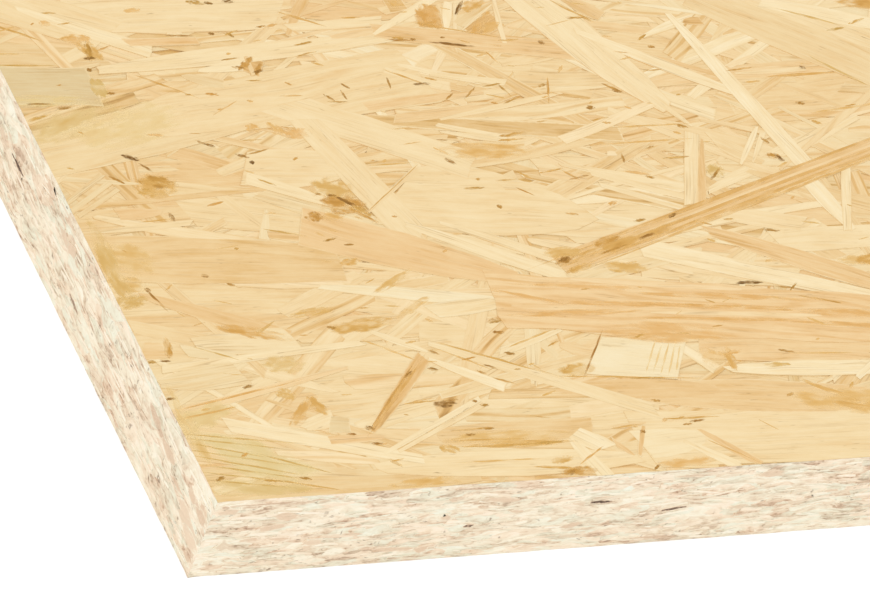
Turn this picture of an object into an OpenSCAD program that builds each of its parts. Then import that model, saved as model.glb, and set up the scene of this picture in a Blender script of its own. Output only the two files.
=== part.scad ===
// One panel of oriented strand board, lying flat as it is sold.
// Long thin wood strands are laid in a mat, hot pressed with resin into one solid sheet,
// and sawn square on all four sides. The strands of both faces run mostly along the length.
// The origin is the middle of the underside. X is the length, Y the width and +Z is up.

/* [Panel] */
// Length of the panel, along the run of its face strands
panel_length = 2500; // [600:5:3000]
// Width of the panel, across the run of its face strands
panel_width = 1250; // [300:5:1500]
// Thickness of the pressed sheet
panel_thickness = 18; // [6:0.5:40]

/* [Sawn edges] */
// Bevel that the saw and handling leave on every arris, measured along either face
arris_bevel = 0.3; // [0.1:0.1:2]

/* [Hidden] */
strand_straw = [0.90, 0.78, 0.55];

// A rectangle about the origin whose four corners are cut off by the arris bevel
module bevelled_rectangle(wide, high) {
    x = wide / 2;
    y = high / 2;
    b = arris_bevel;
    polygon([
        [b - x, -y], [x - b, -y], [x, b - y], [x, y - b],
        [x - b, y], [b - x, y], [-x, y - b], [-x, b - y]
    ]);
}

// The solid sheet: seen along any of its three axes it is a bevelled rectangle
module osb_panel() {
    color(strand_straw)
    translate([0, 0, panel_thickness / 2])
    intersection() {
        // Plan, seen from above
        linear_extrude(panel_thickness, center = true)
            bevelled_rectangle(panel_length, panel_width);
        // Side, seen along the width
        rotate([90, 0, 0])
            linear_extrude(panel_width, center = true)
            bevelled_rectangle(panel_length, panel_thickness);
        // End, seen along the length
        rotate([90, 0, 90])
            linear_extrude(panel_length, center = true)
            bevelled_rectangle(panel_width, panel_thickness);
    }
}

osb_panel();
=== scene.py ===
import bpy
import mathutils
import numpy as np
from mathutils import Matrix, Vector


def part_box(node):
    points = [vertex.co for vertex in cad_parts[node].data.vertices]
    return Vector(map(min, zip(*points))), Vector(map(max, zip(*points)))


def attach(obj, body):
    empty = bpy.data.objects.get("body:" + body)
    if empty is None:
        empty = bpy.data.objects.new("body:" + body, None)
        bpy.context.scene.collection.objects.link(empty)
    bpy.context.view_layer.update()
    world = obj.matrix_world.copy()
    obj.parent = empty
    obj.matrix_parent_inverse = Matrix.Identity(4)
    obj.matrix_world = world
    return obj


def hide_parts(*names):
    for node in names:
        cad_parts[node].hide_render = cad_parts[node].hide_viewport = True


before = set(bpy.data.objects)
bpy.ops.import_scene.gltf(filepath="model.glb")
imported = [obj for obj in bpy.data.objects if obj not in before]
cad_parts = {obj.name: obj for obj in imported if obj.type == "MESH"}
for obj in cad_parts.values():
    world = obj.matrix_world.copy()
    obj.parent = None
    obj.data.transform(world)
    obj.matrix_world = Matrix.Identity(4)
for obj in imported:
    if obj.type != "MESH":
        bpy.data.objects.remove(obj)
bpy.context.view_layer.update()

# Camera, floor and light
# A long lens looks down on the panel's near left corner, and is rolled, so the panel leans in the picture.
# The floor is a white sweep under an even bright sky, as in a light tent, with one wide soft lamp.
panel_low, panel_high = (np.array(corner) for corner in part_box("osb_panel"))
near_corner = np.array([panel_low[0], panel_low[1], panel_high[2]])
picture_size = np.array([870.0, 606.0])
near_corner_pixel = np.array([217.4, 502.7])
near_corner_distance = 1.013
lens_mm = 252.4
sensor_mm = 36.0
azimuth, elevation, roll = np.radians([-37.97, 38.31, 22.77])

backward = np.array([
    np.sin(azimuth) * np.cos(elevation),
    -np.cos(azimuth) * np.cos(elevation),
    np.sin(elevation),
])
level_right = np.array([np.cos(azimuth), np.sin(azimuth), 0.0])
level_up = np.cross(backward, level_right)
rightward = np.cos(roll) * level_right + np.sin(roll) * level_up
upward = np.cos(roll) * level_up - np.sin(roll) * level_right
pixel_slope = sensor_mm / lens_mm / picture_size[0]
corner_right, corner_down = (near_corner_pixel - picture_size / 2) * pixel_slope
eye = near_corner + near_corner_distance * (backward - corner_right * rightward + corner_down * upward)

camera_data = bpy.data.cameras.new("camera")
camera_data.lens = lens_mm
camera_data.sensor_width = sensor_mm
camera_data.clip_start = 0.05
camera_data.clip_end = 200.0
camera = bpy.data.objects.new("camera", camera_data)
camera_place = np.eye(4)
camera_place[:3] = np.column_stack([rightward, upward, backward, eye])
camera.matrix_world = mathutils.Matrix(camera_place.tolist())
bpy.context.scene.collection.objects.link(camera)
bpy.context.scene.camera = camera
bpy.context.scene.view_settings.view_transform = "Standard"

sky_strength = 1.10
lamp_strength = 1.35
lamp_height = np.radians(52)
lamp_bearing = np.radians(-45)
lamp_spread = np.radians(35)
sky = bpy.data.worlds.new("light_tent")
sky.use_nodes = True
sky_light = sky.node_tree.nodes["Background"]
sky_light.inputs["Color"].default_value = (1.0, 1.0, 1.0, 1.0)
sky_light.inputs["Strength"].default_value = sky_strength
bpy.context.scene.world = sky
lamp_data = bpy.data.lights.new("soft_lamp", "SUN")
lamp_data.energy = lamp_strength
lamp_data.angle = lamp_spread
lamp = bpy.data.objects.new("soft_lamp", lamp_data)
lamp.rotation_euler = (np.pi / 2 - lamp_height, 0.0, lamp_bearing)
bpy.context.scene.collection.objects.link(lamp)

floor_half = 60.0
floor_grey = 0.93
floor_roughness = 0.9
floor_mesh = bpy.data.meshes.new("white_floor")
floor_mesh.from_pydata(
    [
        (-floor_half, -floor_half, 0.0),
        (floor_half, -floor_half, 0.0),
        (floor_half, floor_half, 0.0),
        (-floor_half, floor_half, 0.0),
    ],
    [],
    [(0, 1, 2, 3)],
)
floor_paint = bpy.data.materials.new("white_floor")
floor_paint.use_nodes = True
floor_surface = floor_paint.node_tree.nodes["Principled BSDF"]
floor_surface.inputs["Base Color"].default_value = (floor_grey, floor_grey, floor_grey, 1.0)
floor_surface.inputs["Roughness"].default_value = floor_roughness
floor_mesh.materials.append(floor_paint)
floor = bpy.data.objects.new("white_floor", floor_mesh)
bpy.context.scene.collection.objects.link(floor)

# Strand mat
# The pressed mat of chips and strands that shows in the chinks between the outer strands.
# It is softwood, hot pressed in one piece with all that lies on it, and darker than the outer strands:
# partly resin, partly painted shade for the chinks.


class Wire:
    """A shader socket in a formula: each sum with another wire or a number adds one Math node."""

    def __init__(self, finish, socket):
        self.finish = finish
        self.socket = socket

    def __add__(self, other):
        return self.finish.math("ADD", self, other)

    def __sub__(self, other):
        return self.finish.math("SUBTRACT", self, other)

    def __rsub__(self, other):
        return self.finish.math("SUBTRACT", other, self)

    def __mul__(self, other):
        return self.finish.math("MULTIPLY", self, other)

    def __truediv__(self, other):
        return self.finish.math("DIVIDE", self, other)

    __radd__ = __add__
    __rmul__ = __mul__


class Finish:
    """A material being put together. node() adds any node: its settings first, then its sockets."""

    def __init__(self, name):
        self.material = bpy.data.materials.new(name)
        self.material.use_nodes = True
        self.tree = self.material.node_tree
        self.surface = self.tree.nodes["Principled BSDF"]

    def feed(self, socket, value):
        if isinstance(value, Wire):
            self.tree.links.new(value.socket, socket)
        else:
            socket.default_value = value

    def node(self, kind, settings, sockets, output=0):
        made = self.tree.nodes.new(kind)
        for name, value in settings.items():
            if name == "stops":
                ramp = made.color_ramp
                ramp.elements[0].position, ramp.elements[0].color = value[0]
                ramp.elements[1].position, ramp.elements[1].color = value[-1]
                for position, colour in value[1:-1]:
                    ramp.elements.new(position).color = colour
            else:
                setattr(made, name, value)
        for name, value in sockets.items():
            self.feed(made.inputs[name], value)
        return Wire(self, made.outputs[output])

    def math(self, operation, first, second=0.0):
        return self.node("ShaderNodeMath", {"operation": operation}, {0: first, 1: second})

    def parts(self, attribute):
        """The three numbers that a mesh attribute holds."""
        vector = self.node("ShaderNodeAttribute", {"attribute_name": attribute}, {}, output=1)
        return [self.node("ShaderNodeSeparateXYZ", {}, {0: vector}, output=axis) for axis in range(3)]

    def noise(self, run, side, seed, along, across, detail=2.0):
        """Smooth noise about 0.5, in spots about as long as along and as wide as across."""
        point = self.node("ShaderNodeCombineXYZ", {}, {0: run / along, 1: side / across, 2: seed})
        return self.node("ShaderNodeTexNoise", {}, {"Vector": point, "Scale": 1.0, "Detail": detail})

    def rise(self, value, start, end):
        """0 below start, 1 above end and a smooth rise between; a fall where start is above end."""
        sockets = {"Value": value, "From Min": start, "From Max": end}
        return self.node("ShaderNodeMapRange", {"interpolation_type": "SMOOTHSTEP"}, sockets)

    def rim(self, along, across, half_length, half_width):
        """How far a point lies from the nearest border of its flake: half the length less the distance
        along, or half the width less the distance across, whichever is smaller."""
        rim_side = half_width - self.math("ABSOLUTE", across)
        rim_end = half_length - self.math("ABSOLUTE", along)
        return self.math("MINIMUM", rim_side, rim_end)

    def mix(self, share, first, second, blend="MIX"):
        """Colour first, with the share of second mixed in."""
        settings = {"data_type": "RGBA", "blend_type": blend}
        return self.node("ShaderNodeMix", settings, {0: share, 6: first, 7: second}, output=2)

    def blushed(self, colour, blush, rosy, dull):
        """Colour multiplied by rosy as far as blush is above 0, and by dull as far as it is below."""
        colour = self.mix(self.math("MAXIMUM", blush), colour, (*rosy, 1.0), "MULTIPLY")
        return self.mix(self.math("MAXIMUM", 0.0 - blush), colour, (*dull, 1.0), "MULTIPLY")

    def roughen(self, height, depth):
        """A bump of that height, in metres of depth, on the surface."""
        bump = self.node("ShaderNodeBump", {}, {"Height": height, "Distance": depth, "Strength": 1.0})
        self.feed(self.surface.inputs["Normal"], bump)


def lit(red, green, blue):
    """The reflectance that shows as this colour (0 to 255) on a level face in this light: the colour
    made linear, divided by what the sky and the lamp together throw on the face."""
    shown = np.array([red, green, blue]) / 255
    linear = np.where(shown <= 0.04045, shown / 12.92, ((shown + 0.055) / 1.055) ** 2.4)
    thrown = sky_strength + lamp_strength * np.sin(lamp_height) / np.pi
    return (*(linear / thrown), 1.0)


def strand_finish():
    """Softwood grain along each strand. Its colour is a tone on a ramp, moved by long streaks, fine fibres
    and growth rings. Towards its rim, over its feather width, a strand's tone and blush go over to those of
    the strand it lies on. Resin stains, grain lines, short dark dashes and thin dark lines of painted shade
    along the rims, for the cracks between strands, come last."""
    wood = Finish("pressed_strand")
    run, side, seed = wood.parts("lie")
    along, across, tone = wood.parts("span")
    half_length, half_width, grain = wood.parts("half")
    rings, blush, stain = wood.parts("tint")
    bed_tone, bed_blush, feather = wood.parts("bed")

    # Patterns in the wood, with their sizes in mm
    bend_reach = 4.0
    bend = wood.noise(run, side, seed + 37.7, along=30.0, across=8.0, detail=1.0)
    grain_side = side + (bend - 0.5) * bend_reach
    fibre = wood.noise(run, grain_side, seed, along=5.0, across=0.30, detail=3.0)
    streak = wood.noise(run, grain_side, seed + 11.3, along=26.0, across=0.85, detail=3.0)
    cloud = wood.noise(run, side, seed + 23.1, along=10.0, across=3.4, detail=3.0)
    blotch = wood.noise(run, side, seed + 29.9, along=1.4, across=0.55, detail=3.0)
    ring_spacing = 2.4
    ring_bends = 4.0
    ring_wave = wood.math("SINE", (side / ring_spacing + bend * ring_bends) * (2 * np.pi))
    ring = wood.rise(ring_wave, -0.2, 1.0)

    # How far each pattern moves the tone
    fibre_pull = 0.34
    streak_pull = 0.56
    cloud_pull = 0.30
    blotch_pull = 0.10
    ring_pull = 0.24
    rim = wood.rim(along, across, half_length, half_width)
    own = wood.rise(rim + (blotch - 0.35) * feather, 0.0, feather)
    shade = bed_tone + (tone - bed_tone) * own
    tinge = bed_blush + (blush - bed_blush) * own
    streak_shade = (streak - 0.5) * wood.rise(cloud, 0.34, 0.7) * streak_pull
    shade = shade + grain * ((fibre - 0.5) * fibre_pull + streak_shade)
    shade = shade + (cloud - 0.5) * cloud_pull + (blotch - 0.5) * blotch_pull + rings * ring * ring_pull
    colour = wood.node("ShaderNodeValToRGB", {"stops": [
        (0.00, lit(254, 238, 200)),
        (0.20, lit(250, 227, 180)),
        (0.40, lit(244, 215, 162)),
        (0.55, lit(238, 202, 144)),
        (0.70, lit(227, 184, 116)),
        (0.85, lit(196, 150, 84)),
        (0.95, lit(132, 97, 50)),
        (1.00, lit(94, 70, 36)),
    ]}, {0: shade})
    colour = wood.blushed(colour, tinge, rosy=(1.0, 0.945, 0.91), dull=(0.87, 0.91, 0.93))

    stain_spot = wood.noise(run, side, seed + 51.9, along=7.0, across=2.6)
    stain_share = wood.rise(stain_spot, 0.42, 0.68) * stain * own
    colour = wood.mix(stain_share, colour, lit(213, 165, 72))

    line_strength = 0.42
    line_spot = wood.noise(run, grain_side, seed + 91.3, along=18.0, across=0.24, detail=1.0)
    line_share = wood.rise(line_spot, 0.56, 0.74) * wood.rise(cloud, 0.36, 0.60) * grain * line_strength
    colour = wood.mix(line_share, colour, lit(182, 142, 86))

    dash_strength = 0.6
    dash_spot = wood.noise(run, side, seed + 67.3, along=2.6, across=0.30, detail=1.0)
    dash_share = wood.rise(dash_spot, 0.67, 0.80) * wood.rise(cloud, 0.42, 0.64) * dash_strength
    colour = wood.mix(dash_share, colour, lit(150, 112, 62))

    # Painted shade: a thin dark line along the rim of a strand with a narrow feather, for the crack at its
    # step
    rim_shade_strength = 0.35
    rim_shade_gap = wood.noise(run, side, seed + 81.7, along=6.0, across=6.0)
    rim_shade_share = wood.rise(rim, 0.24, 0.02) * wood.rise(rim_shade_gap, 0.46, 0.64)
    rim_shade_share = rim_shade_share * wood.rise(feather, 0.2, 0.1) * rim_shade_strength
    colour = wood.mix(rim_shade_share, colour, lit(184, 138, 78))

    wood.feed(wood.surface.inputs["Base Color"], colour)
    wood.feed(wood.surface.inputs["Roughness"], 0.52 + fibre * 0.2)
    wood.surface.inputs["Specular IOR Level"].default_value = 0.25
    wood.roughen(fibre * 0.6 + streak * 0.4, depth=0.0001)
    return wood.material


def add_piece(name, points, quads, attributes, bake_map, material):
    """One mesh object from whole arrays: points in metres, four corners a face, three numbers a point in
    each attribute, and for each face corner its place on the flat bake map."""
    mesh = bpy.data.meshes.new(name)
    mesh.vertices.add(len(points))
    mesh.vertices.foreach_set("co", np.ascontiguousarray(points, np.float32).ravel())
    mesh.loops.add(quads.size)
    mesh.loops.foreach_set("vertex_index", np.ascontiguousarray(quads, np.int32).ravel())
    mesh.polygons.add(len(quads))
    mesh.polygons.foreach_set("loop_start", np.arange(0, quads.size, 4, dtype=np.int32))
    mesh.update(calc_edges=True)
    for attribute, values in attributes.items():
        layer = mesh.attributes.new(attribute, "FLOAT_VECTOR", "POINT")
        layer.data.foreach_set("vector", np.ascontiguousarray(values, np.float32).ravel())
    layer = mesh.uv_layers.new(name="OFBake")
    layer.uv.foreach_set("vector", np.ascontiguousarray(bake_map, np.float32).ravel())
    mesh.shade_flat()
    mesh.validate()
    mesh.materials.append(material)
    piece = bpy.data.objects.new(name, mesh)
    bpy.context.scene.collection.objects.link(piece)
    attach(piece, "root")
    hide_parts("osb_panel")
    return piece


def corners(*grids):
    """Faces from four equal grids of point numbers, one grid for each corner."""
    return np.stack([grid.ravel() for grid in grids], axis=1)


def slab_faces(stations, columns):
    """Faces of a closed slab whose upper grid of points comes first and lower grid second."""
    upper, lower = np.arange(2 * stations * columns).reshape(2, stations, columns)
    return np.concatenate([
        corners(upper[:-1, :-1], upper[1:, :-1], upper[1:, 1:], upper[:-1, 1:]),
        corners(lower[:-1, :-1], lower[:-1, 1:], lower[1:, 1:], lower[1:, :-1]),
        corners(lower[:-1, 0], lower[1:, 0], upper[1:, 0], upper[:-1, 0]),
        corners(upper[:-1, -1], upper[1:, -1], lower[1:, -1], lower[:-1, -1]),
        corners(upper[0, :-1], upper[0, 1:], lower[0, 1:], lower[0, :-1]),
        corners(lower[-1, :-1], lower[-1, 1:], upper[-1, 1:], upper[-1, :-1]),
    ])


# Sizes of pieces are in mm from here on, and points are turned into metres where a piece is added
mm = 0.001
panel_half = (panel_high - panel_low)[:2] / 2 / mm
panel_thickness = (panel_high - panel_low)[2] / mm
mat_inset = 1.2
mat_sunk = 0.62
mat_swell = 0.03
mat_wave_length = 37.0
mat_wave_width = 23.0
mat_stations = 100
mat_columns = 50
# The mat's tone is darker than the strands': partly resin, partly painted shade for the chinks
mat_tone_with_shade = 0.66
mat_grain = 1.2
mat_stain = 0.4
mat_feather = 0.1
mat_rim = 1e4
mat_map_border = 0.02
strand_wood = strand_finish()

mat_x = np.linspace(mat_inset - panel_half[0], panel_half[0] - mat_inset, mat_stations)[:, None]
mat_y = np.linspace(mat_inset - panel_half[1], panel_half[1] - mat_inset, mat_columns)[None, :]
# The mat's faces swell gently: a product of two sine waves along and across the panel
mat_wave = mat_swell * np.sin(mat_x / mat_wave_length) * np.sin(mat_y / mat_wave_width)
mat_points = np.stack([
    np.stack(np.broadcast_arrays(mat_x, mat_y, panel_thickness - mat_sunk + mat_wave), axis=-1),
    np.stack(np.broadcast_arrays(mat_x, mat_y, mat_sunk + mat_wave), axis=-1),
]).reshape(-1, 3)
mat_count = len(mat_points)
mat_faces = slab_faces(mat_stations, mat_columns)
# The bake map lays the upper face over one half of the square and the lower face over the other
mat_map_size = np.array([1.0, 0.5]) - 2 * mat_map_border
mat_flat = (mat_points[:, :2] / panel_half + 1) / 2 * mat_map_size + mat_map_border
mat_flat[mat_count // 2:, 1] += 0.5
add_piece(
    "strand_mat",
    mat_points * mm,
    mat_faces,
    {
        "lie": mat_points * [1, 1, 0],
        "span": np.tile([0.0, 0.0, mat_tone_with_shade], (mat_count, 1)),
        "half": np.tile([mat_rim, mat_rim, mat_grain], (mat_count, 1)),
        "tint": np.tile([0.0, 0.0, mat_stain], (mat_count, 1)),
        "bed": np.tile([mat_tone_with_shade, 0.0, mat_feather], (mat_count, 1)),
    },
    mat_flat[mat_faces],
    strand_wood,
)

# Upper face strands
# Long thin flakes of softwood, cut along the grain, laid mostly along the panel and pressed flat into it.
# Resin binds them; narrow slivers lie among them, and the saw cuts off whatever runs past the panel's sides.


def drawn_in(x, y, cosine, sine, steep, half_size):
    """Points past the half sizes drawn in to them, along the flake or across it, whichever is nearer square:
    the steps along and across that each point makes, and its new x and y."""
    over_x = np.clip(x, -half_size[0], half_size[0]) - x
    run_step = np.where(steep, 0, over_x / cosine)
    side_step = np.where(steep, -over_x / sine, 0)
    stepped_y = y + sine * run_step + cosine * side_step
    over_y = np.clip(stepped_y, -half_size[1], half_size[1]) - stepped_y
    run_step = run_step + np.where(steep, over_y / sine, 0)
    side_step = side_step + np.where(steep, 0, over_y / cosine)
    x = np.clip(x + cosine * run_step - sine * side_step, -half_size[0], half_size[0])
    y = np.clip(y + sine * run_step + cosine * side_step, -half_size[1], half_size[1])
    return run_step, side_step, x, y


def flake_map(length, width, s, t):
    """Places of all flakes on the bake map, and its area. The flakes lie end to end on shelves, widest
    first. The lower face overlaps the upper one but reaches a little further, so the thin sides get the
    border between the two."""
    border = 0.8
    lower_share = 0.8
    lower_reach = lower_share * border * np.array([0.0, 1.0])[None, :, None, None]
    long = length + 2 * border
    wide = width + 2 * border
    area = np.sum(long * wide)
    order = np.argsort(-wide)
    laid = np.cumsum(long[order]) - long[order]
    shelf = np.floor(laid / np.sqrt(area)).astype(int)
    first = np.searchsorted(shelf, np.arange(shelf[-1] + 1))
    shelf_low = np.concatenate([[0.0], np.cumsum(wide[order][first])])
    map_x = np.empty(len(length))
    map_y = np.empty(len(length))
    map_x[order] = laid - laid[first][shelf]
    map_y[order] = shelf_low[shelf]
    flat_x = map_x[:, None, None, None] + border + (s * length[:, None, None])[:, None]
    flat_x = flat_x + lower_reach * ((s == 1) * 1.0 - (s == 0) * 1.0)[:, None]
    flat_y = map_y[:, None, None, None] + border + ((t + 1) / 2 * width[:, None, None])[:, None]
    flat_y = flat_y + lower_reach * ((t == 1) * 1.0 - (t == -1) * 1.0)[:, None]
    flat = np.stack(np.broadcast_arrays(flat_x, flat_y), axis=-1).reshape(-1, 2)
    return flat / [np.max(map_x + long), shelf_low[-1]], area


def flakes(lay, stations, columns, half_size, chance):
    """Thin closed flakes from whole arrays. s runs 0 to 1 along a flake and t -1 to 1 across it. A point's
    run is the flake's length times s, moved by its slanted ends; its side is half the width times t, less
    towards pointed ends, plus a bow that is a parabola in s. Run and side are turned by the heading and
    moved to the centre. What lies past the half sizes is cut off: the centre line is cut where it crosses,
    and points still outside are drawn in."""
    least_turn = 1e-4
    steep_cosine = 0.5
    top_gap = 0.01
    s = np.linspace(0.0, 1.0, stations)[None, :, None]
    t = np.linspace(-1.0, 1.0, columns)[None, None, :]
    one = {name: np.asarray(values, float)[:, None, None] for name, values in lay.items()}
    count = len(one["length"])
    cosine = np.cos(one["heading"])
    sine = np.sin(one["heading"])
    cosine = np.where(np.abs(cosine) < least_turn, least_turn, cosine)
    sine = np.where(np.abs(sine) < least_turn, least_turn, sine)

    leave_x = np.stack([(-half_size[0] - one["x"]) / cosine, (half_size[0] - one["x"]) / cosine])
    leave_y = np.stack([(-half_size[1] - one["y"]) / sine, (half_size[1] - one["y"]) / sine])
    start = np.maximum(-one["length"] / 2, np.maximum(leave_x.min(0), leave_y.min(0)))
    end = np.minimum(one["length"] / 2, np.minimum(leave_x.max(0), leave_y.max(0)))
    length = end - start
    steep = np.abs(cosine) < steep_cosine
    sawn_slant = np.where(steep, -cosine / sine, sine / cosine)
    square_start = np.where(steep, leave_y.min(0), leave_x.min(0)) == start
    square_end = np.where(steep, leave_y.max(0), leave_x.max(0)) == end
    sawn_start = start > -one["length"] / 2
    sawn_end = end < one["length"] / 2
    slant_start = np.where(square_start, sawn_slant, np.where(sawn_start, 0, one["slant_start"]))
    slant_end = np.where(square_end, sawn_slant, np.where(sawn_end, 0, one["slant_end"]))
    point_start = np.where(sawn_start, 0, one["point_start"])
    point_end = np.where(sawn_end, 0, one["point_end"])

    half_width = one["width"] / 2 * (1 - point_start * (1 - s) ** 3 - point_end * s ** 3)
    half_width = half_width * (1 + one["ragged"] * chance.normal(0, 1, (count, stations, columns)))
    side = t * half_width
    ragged_end = one["ragged"] * one["width"] * chance.normal(0, 1, (count, 2, columns))
    ragged_start = np.where(sawn_start[:, 0], 0, ragged_end[:, 0])[:, None, :]
    ragged_finish = np.where(sawn_end[:, 0], 0, ragged_end[:, 1])[:, None, :]
    run = start + s * length + side * (slant_start * (1 - s) + slant_end * s)
    run = run + ragged_start * (s == 0) + ragged_finish * (s == 1)
    side = side + one["bow"] * (1 - (2 * s - 1) ** 2)
    x = one["x"] + cosine * run - sine * side
    y = one["y"] + sine * run + cosine * side
    run_step, side_step, x, y = drawn_in(x, y, cosine, sine, steep, half_size)

    upper = np.minimum(-one["sunk"] + one["tip"] * (2 * s - 1) + one["roll"] * t, -top_gap)
    grid = (count, 2, stations, columns)
    heights = np.stack(np.broadcast_arrays(upper, upper - one["thick"]), axis=1)
    points = np.stack(np.broadcast_arrays(x[:, None], y[:, None], heights), axis=-1)

    def spread(*values):
        """Three numbers for every point of every flake."""
        wide = [np.broadcast_to(np.asarray(value), (count, stations, columns))[:, None] for value in values]
        return np.stack([np.broadcast_to(value, grid) for value in wide], axis=-1).reshape(-1, 3)

    attributes = {
        "lie": spread(run + run_step, side + side_step, one["seed"]),
        "span": spread(start + s * length, t * one["width"] / 2, one["tone"]),
        "half": spread(one["length"] / 2, one["width"] / 2, one["grain"]),
        "tint": spread(one["rings"], one["blush"], one["stain"]),
        "bed": spread(one["bed_tone"], one["bed_blush"], one["feather"]),
    }
    flat, area = flake_map(length[:, 0, 0], lay["width"], s, t)
    pattern = slab_faces(stations, columns)
    faces = (pattern[None] + (2 * stations * columns) * np.arange(count)[:, None, None]).reshape(-1, 4)
    return points.reshape(-1, 3), faces, attributes, flat, area


def joined(*groups):
    """Several groups of flakes as one: their point numbers follow on, and each group gets a band of the
    bake map as tall as its share of the map's area."""
    points, faces, attributes, flat, area = zip(*groups)
    band = np.concatenate([[0.0], np.cumsum(np.array(area) / np.sum(area))])
    first = np.cumsum([0] + [len(part) for part in points])
    all_faces = np.concatenate([part + first[n] for n, part in enumerate(faces)])
    all_attributes = {name: np.concatenate([part[name] for part in attributes]) for name in attributes[0]}
    all_flat = np.concatenate([
        part * [1.0, band[n + 1] - band[n]] + [0.0, band[n]] for n, part in enumerate(flat)
    ])
    return np.concatenate(points), all_faces, all_attributes, all_flat[all_faces]


def scattered(count, chance, x, y, length, width, heading, sunk, tone):
    """A lay of flakes from the given arrays, with everything else drawn at random for each flake."""
    return {
        "x": x,
        "y": y,
        "length": length,
        "width": width,
        "heading": heading,
        "sunk": sunk,
        "tone": tone,
        "slant_start": chance.normal(0, 0.5, count),
        "slant_end": chance.normal(0, 0.5, count),
        "point_start": chance.choice([0.0, 0.25, 0.7], count),
        "point_end": chance.choice([0.0, 0.25, 0.7], count),
        "bow": chance.normal(0, 0.012, count) * length,
        "ragged": np.full(count, 0.05),
        "tip": np.clip(chance.normal(0, 0.02, count), -sunk / 2, sunk / 2),
        "roll": np.clip(chance.normal(0, 0.01, count), -sunk / 4, sunk / 4),
        "thick": np.full(count, 0.5),
        "seed": chance.uniform(0, seed_most, count),
        "grain": chance.uniform(0.7, 1.3, count),
        "rings": chance.choice([0.0, 0.0, 0.4, 1.0], count),
        "blush": chance.choice([0.0, 0.0, -0.3, 0.3, 0.8], count),
        "stain": chance.choice([0.0, 0.05, 0.3], count),
        "bed_tone": np.full(count, 0.45),
        "bed_blush": np.zeros(count),
        "feather": np.full(count, 0.12),
    }


def picked(lay, wanted):
    """The wanted flakes of a lay."""
    return {name: values[wanted] for name, values in lay.items()}


def moved(lay, step):
    """A lay whose flakes have all moved by the same step."""
    return {**lay, "x": lay["x"] + step[0], "y": lay["y"] + step[1]}


def set_all(lay, **finish):
    """Gives all flakes of a lay the same value of each kind that is named."""
    for name, value in finish.items():
        lay[name] = np.full(len(lay["x"]), float(value))


def spread_about(chance, count, usual, scatter, least, most):
    """Sizes about a usual one, which is multiplied by e to the power of a normal draw, within two limits."""
    return np.clip(usual * np.exp(chance.normal(0, scatter, count)), least, most)


def strewn_places(chance, half_size, count):
    """Places at random on a face, a little in from its sides."""
    return [chance.uniform(place_inset - half, half - place_inset, count) for half in half_size]


def broad_strands(chance, half_size):
    """Broad strands on a shaken grid, so that they cover the face. About one in eight lies askew."""
    along_step = 70.0
    across_step = 9.5
    askew_share = 0.12
    along, across = np.meshgrid(
        np.arange(-half_size[0], half_size[0], along_step),
        np.arange(-half_size[1], half_size[1], across_step),
    )
    count = along.size
    far_x, far_y = half_size - place_inset
    x = np.clip(along.ravel() + chance.uniform(0, along_step, count), -far_x, far_x)
    y = np.clip(across.ravel() + chance.uniform(0, across_step, count), -far_y, far_y)
    length = spread_about(chance, count, usual=105, scatter=0.25, least=60, most=160)
    width = spread_about(chance, count, usual=13, scatter=0.3, least=7, most=24)
    askew = chance.random(count) < askew_share
    heading = np.where(askew, chance.normal(0, 0.7, count), chance.normal(0, 0.22, count))
    sunk = chance.uniform(0.30, 0.45, count)
    tone = np.clip(chance.normal(0.41, 0.08, count), 0.22, 0.62)
    return scattered(count, chance, x, y, length, width, heading, sunk, tone)


def narrow_strands(chance, half_size, count, usual_length=75, usual_width=6.5):
    """Narrower strands thrown on the broad ones. About one in five lies across the run of the others."""
    askew_share = 0.2
    x, y = strewn_places(chance, half_size, count)
    length = usual_length * spread_about(chance, count, usual=1, scatter=0.4, least=0.33, most=2.0)
    width = usual_width * spread_about(chance, count, usual=1, scatter=0.5, least=0.3, most=2.6)
    askew = chance.random(count) < askew_share
    heading = np.where(askew, chance.normal(0, 0.9, count), chance.normal(0, 0.4, count))
    sunk = chance.uniform(0.08, 0.28, count)
    tone = np.clip(chance.normal(0.37, 0.11, count), 0.16, 0.70)
    return scattered(count, chance, x, y, length, width, heading, sunk, tone)


def slivers(chance, half_size, count):
    """Splinters that lie on top, pale ones and dark ones."""
    x, y = strewn_places(chance, half_size, count)
    length = spread_about(chance, count, usual=14, scatter=0.5, least=4, most=45)
    width = spread_about(chance, count, usual=0.9, scatter=0.4, least=0.4, most=2.2)
    heading = chance.normal(0, 0.5, count)
    sunk = chance.uniform(0.04, 0.12, count)
    tone = np.clip(chance.normal(0.45, 0.14, count), 0.15, 0.70)
    return scattered(count, chance, x, y, length, width, heading, sunk, tone)


def strewn_groups(chance, half_size, narrow_count, sliver_count):
    """The strands that are strewn over a whole face. A group is a lay of flakes and how many points each of
    them has along and across."""
    return [
        (broad_strands(chance, half_size), 4, 2),
        (narrow_strands(chance, half_size, narrow_count), 4, 2),
        (slivers(chance, half_size, sliver_count), 2, 2),
    ]


def add_face_strands(name, groups, strips, half_size, chance, place):
    """Splits a face's strands into long strips, so that no piece is too big, and adds each strip's mesh."""
    for strip in range(strips):
        made = []
        for lay, stations, columns in groups:
            number = np.floor((lay["y"] / half_size[1] + 1) / 2 * strips).clip(0, strips - 1)
            if np.any(number == strip):
                made.append(flakes(picked(lay, number == strip), stations, columns, half_size, chance))
        points, faces, attributes, bake_map = joined(*made)
        add_piece(f"{name}_{strip + 1}", place(points), faces, attributes, bake_map, strand_wood)


def on_upper_face(points):
    """Places in metres of points whose height counts from the upper face."""
    return (points + [0, 0, panel_thickness]) * mm


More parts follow.
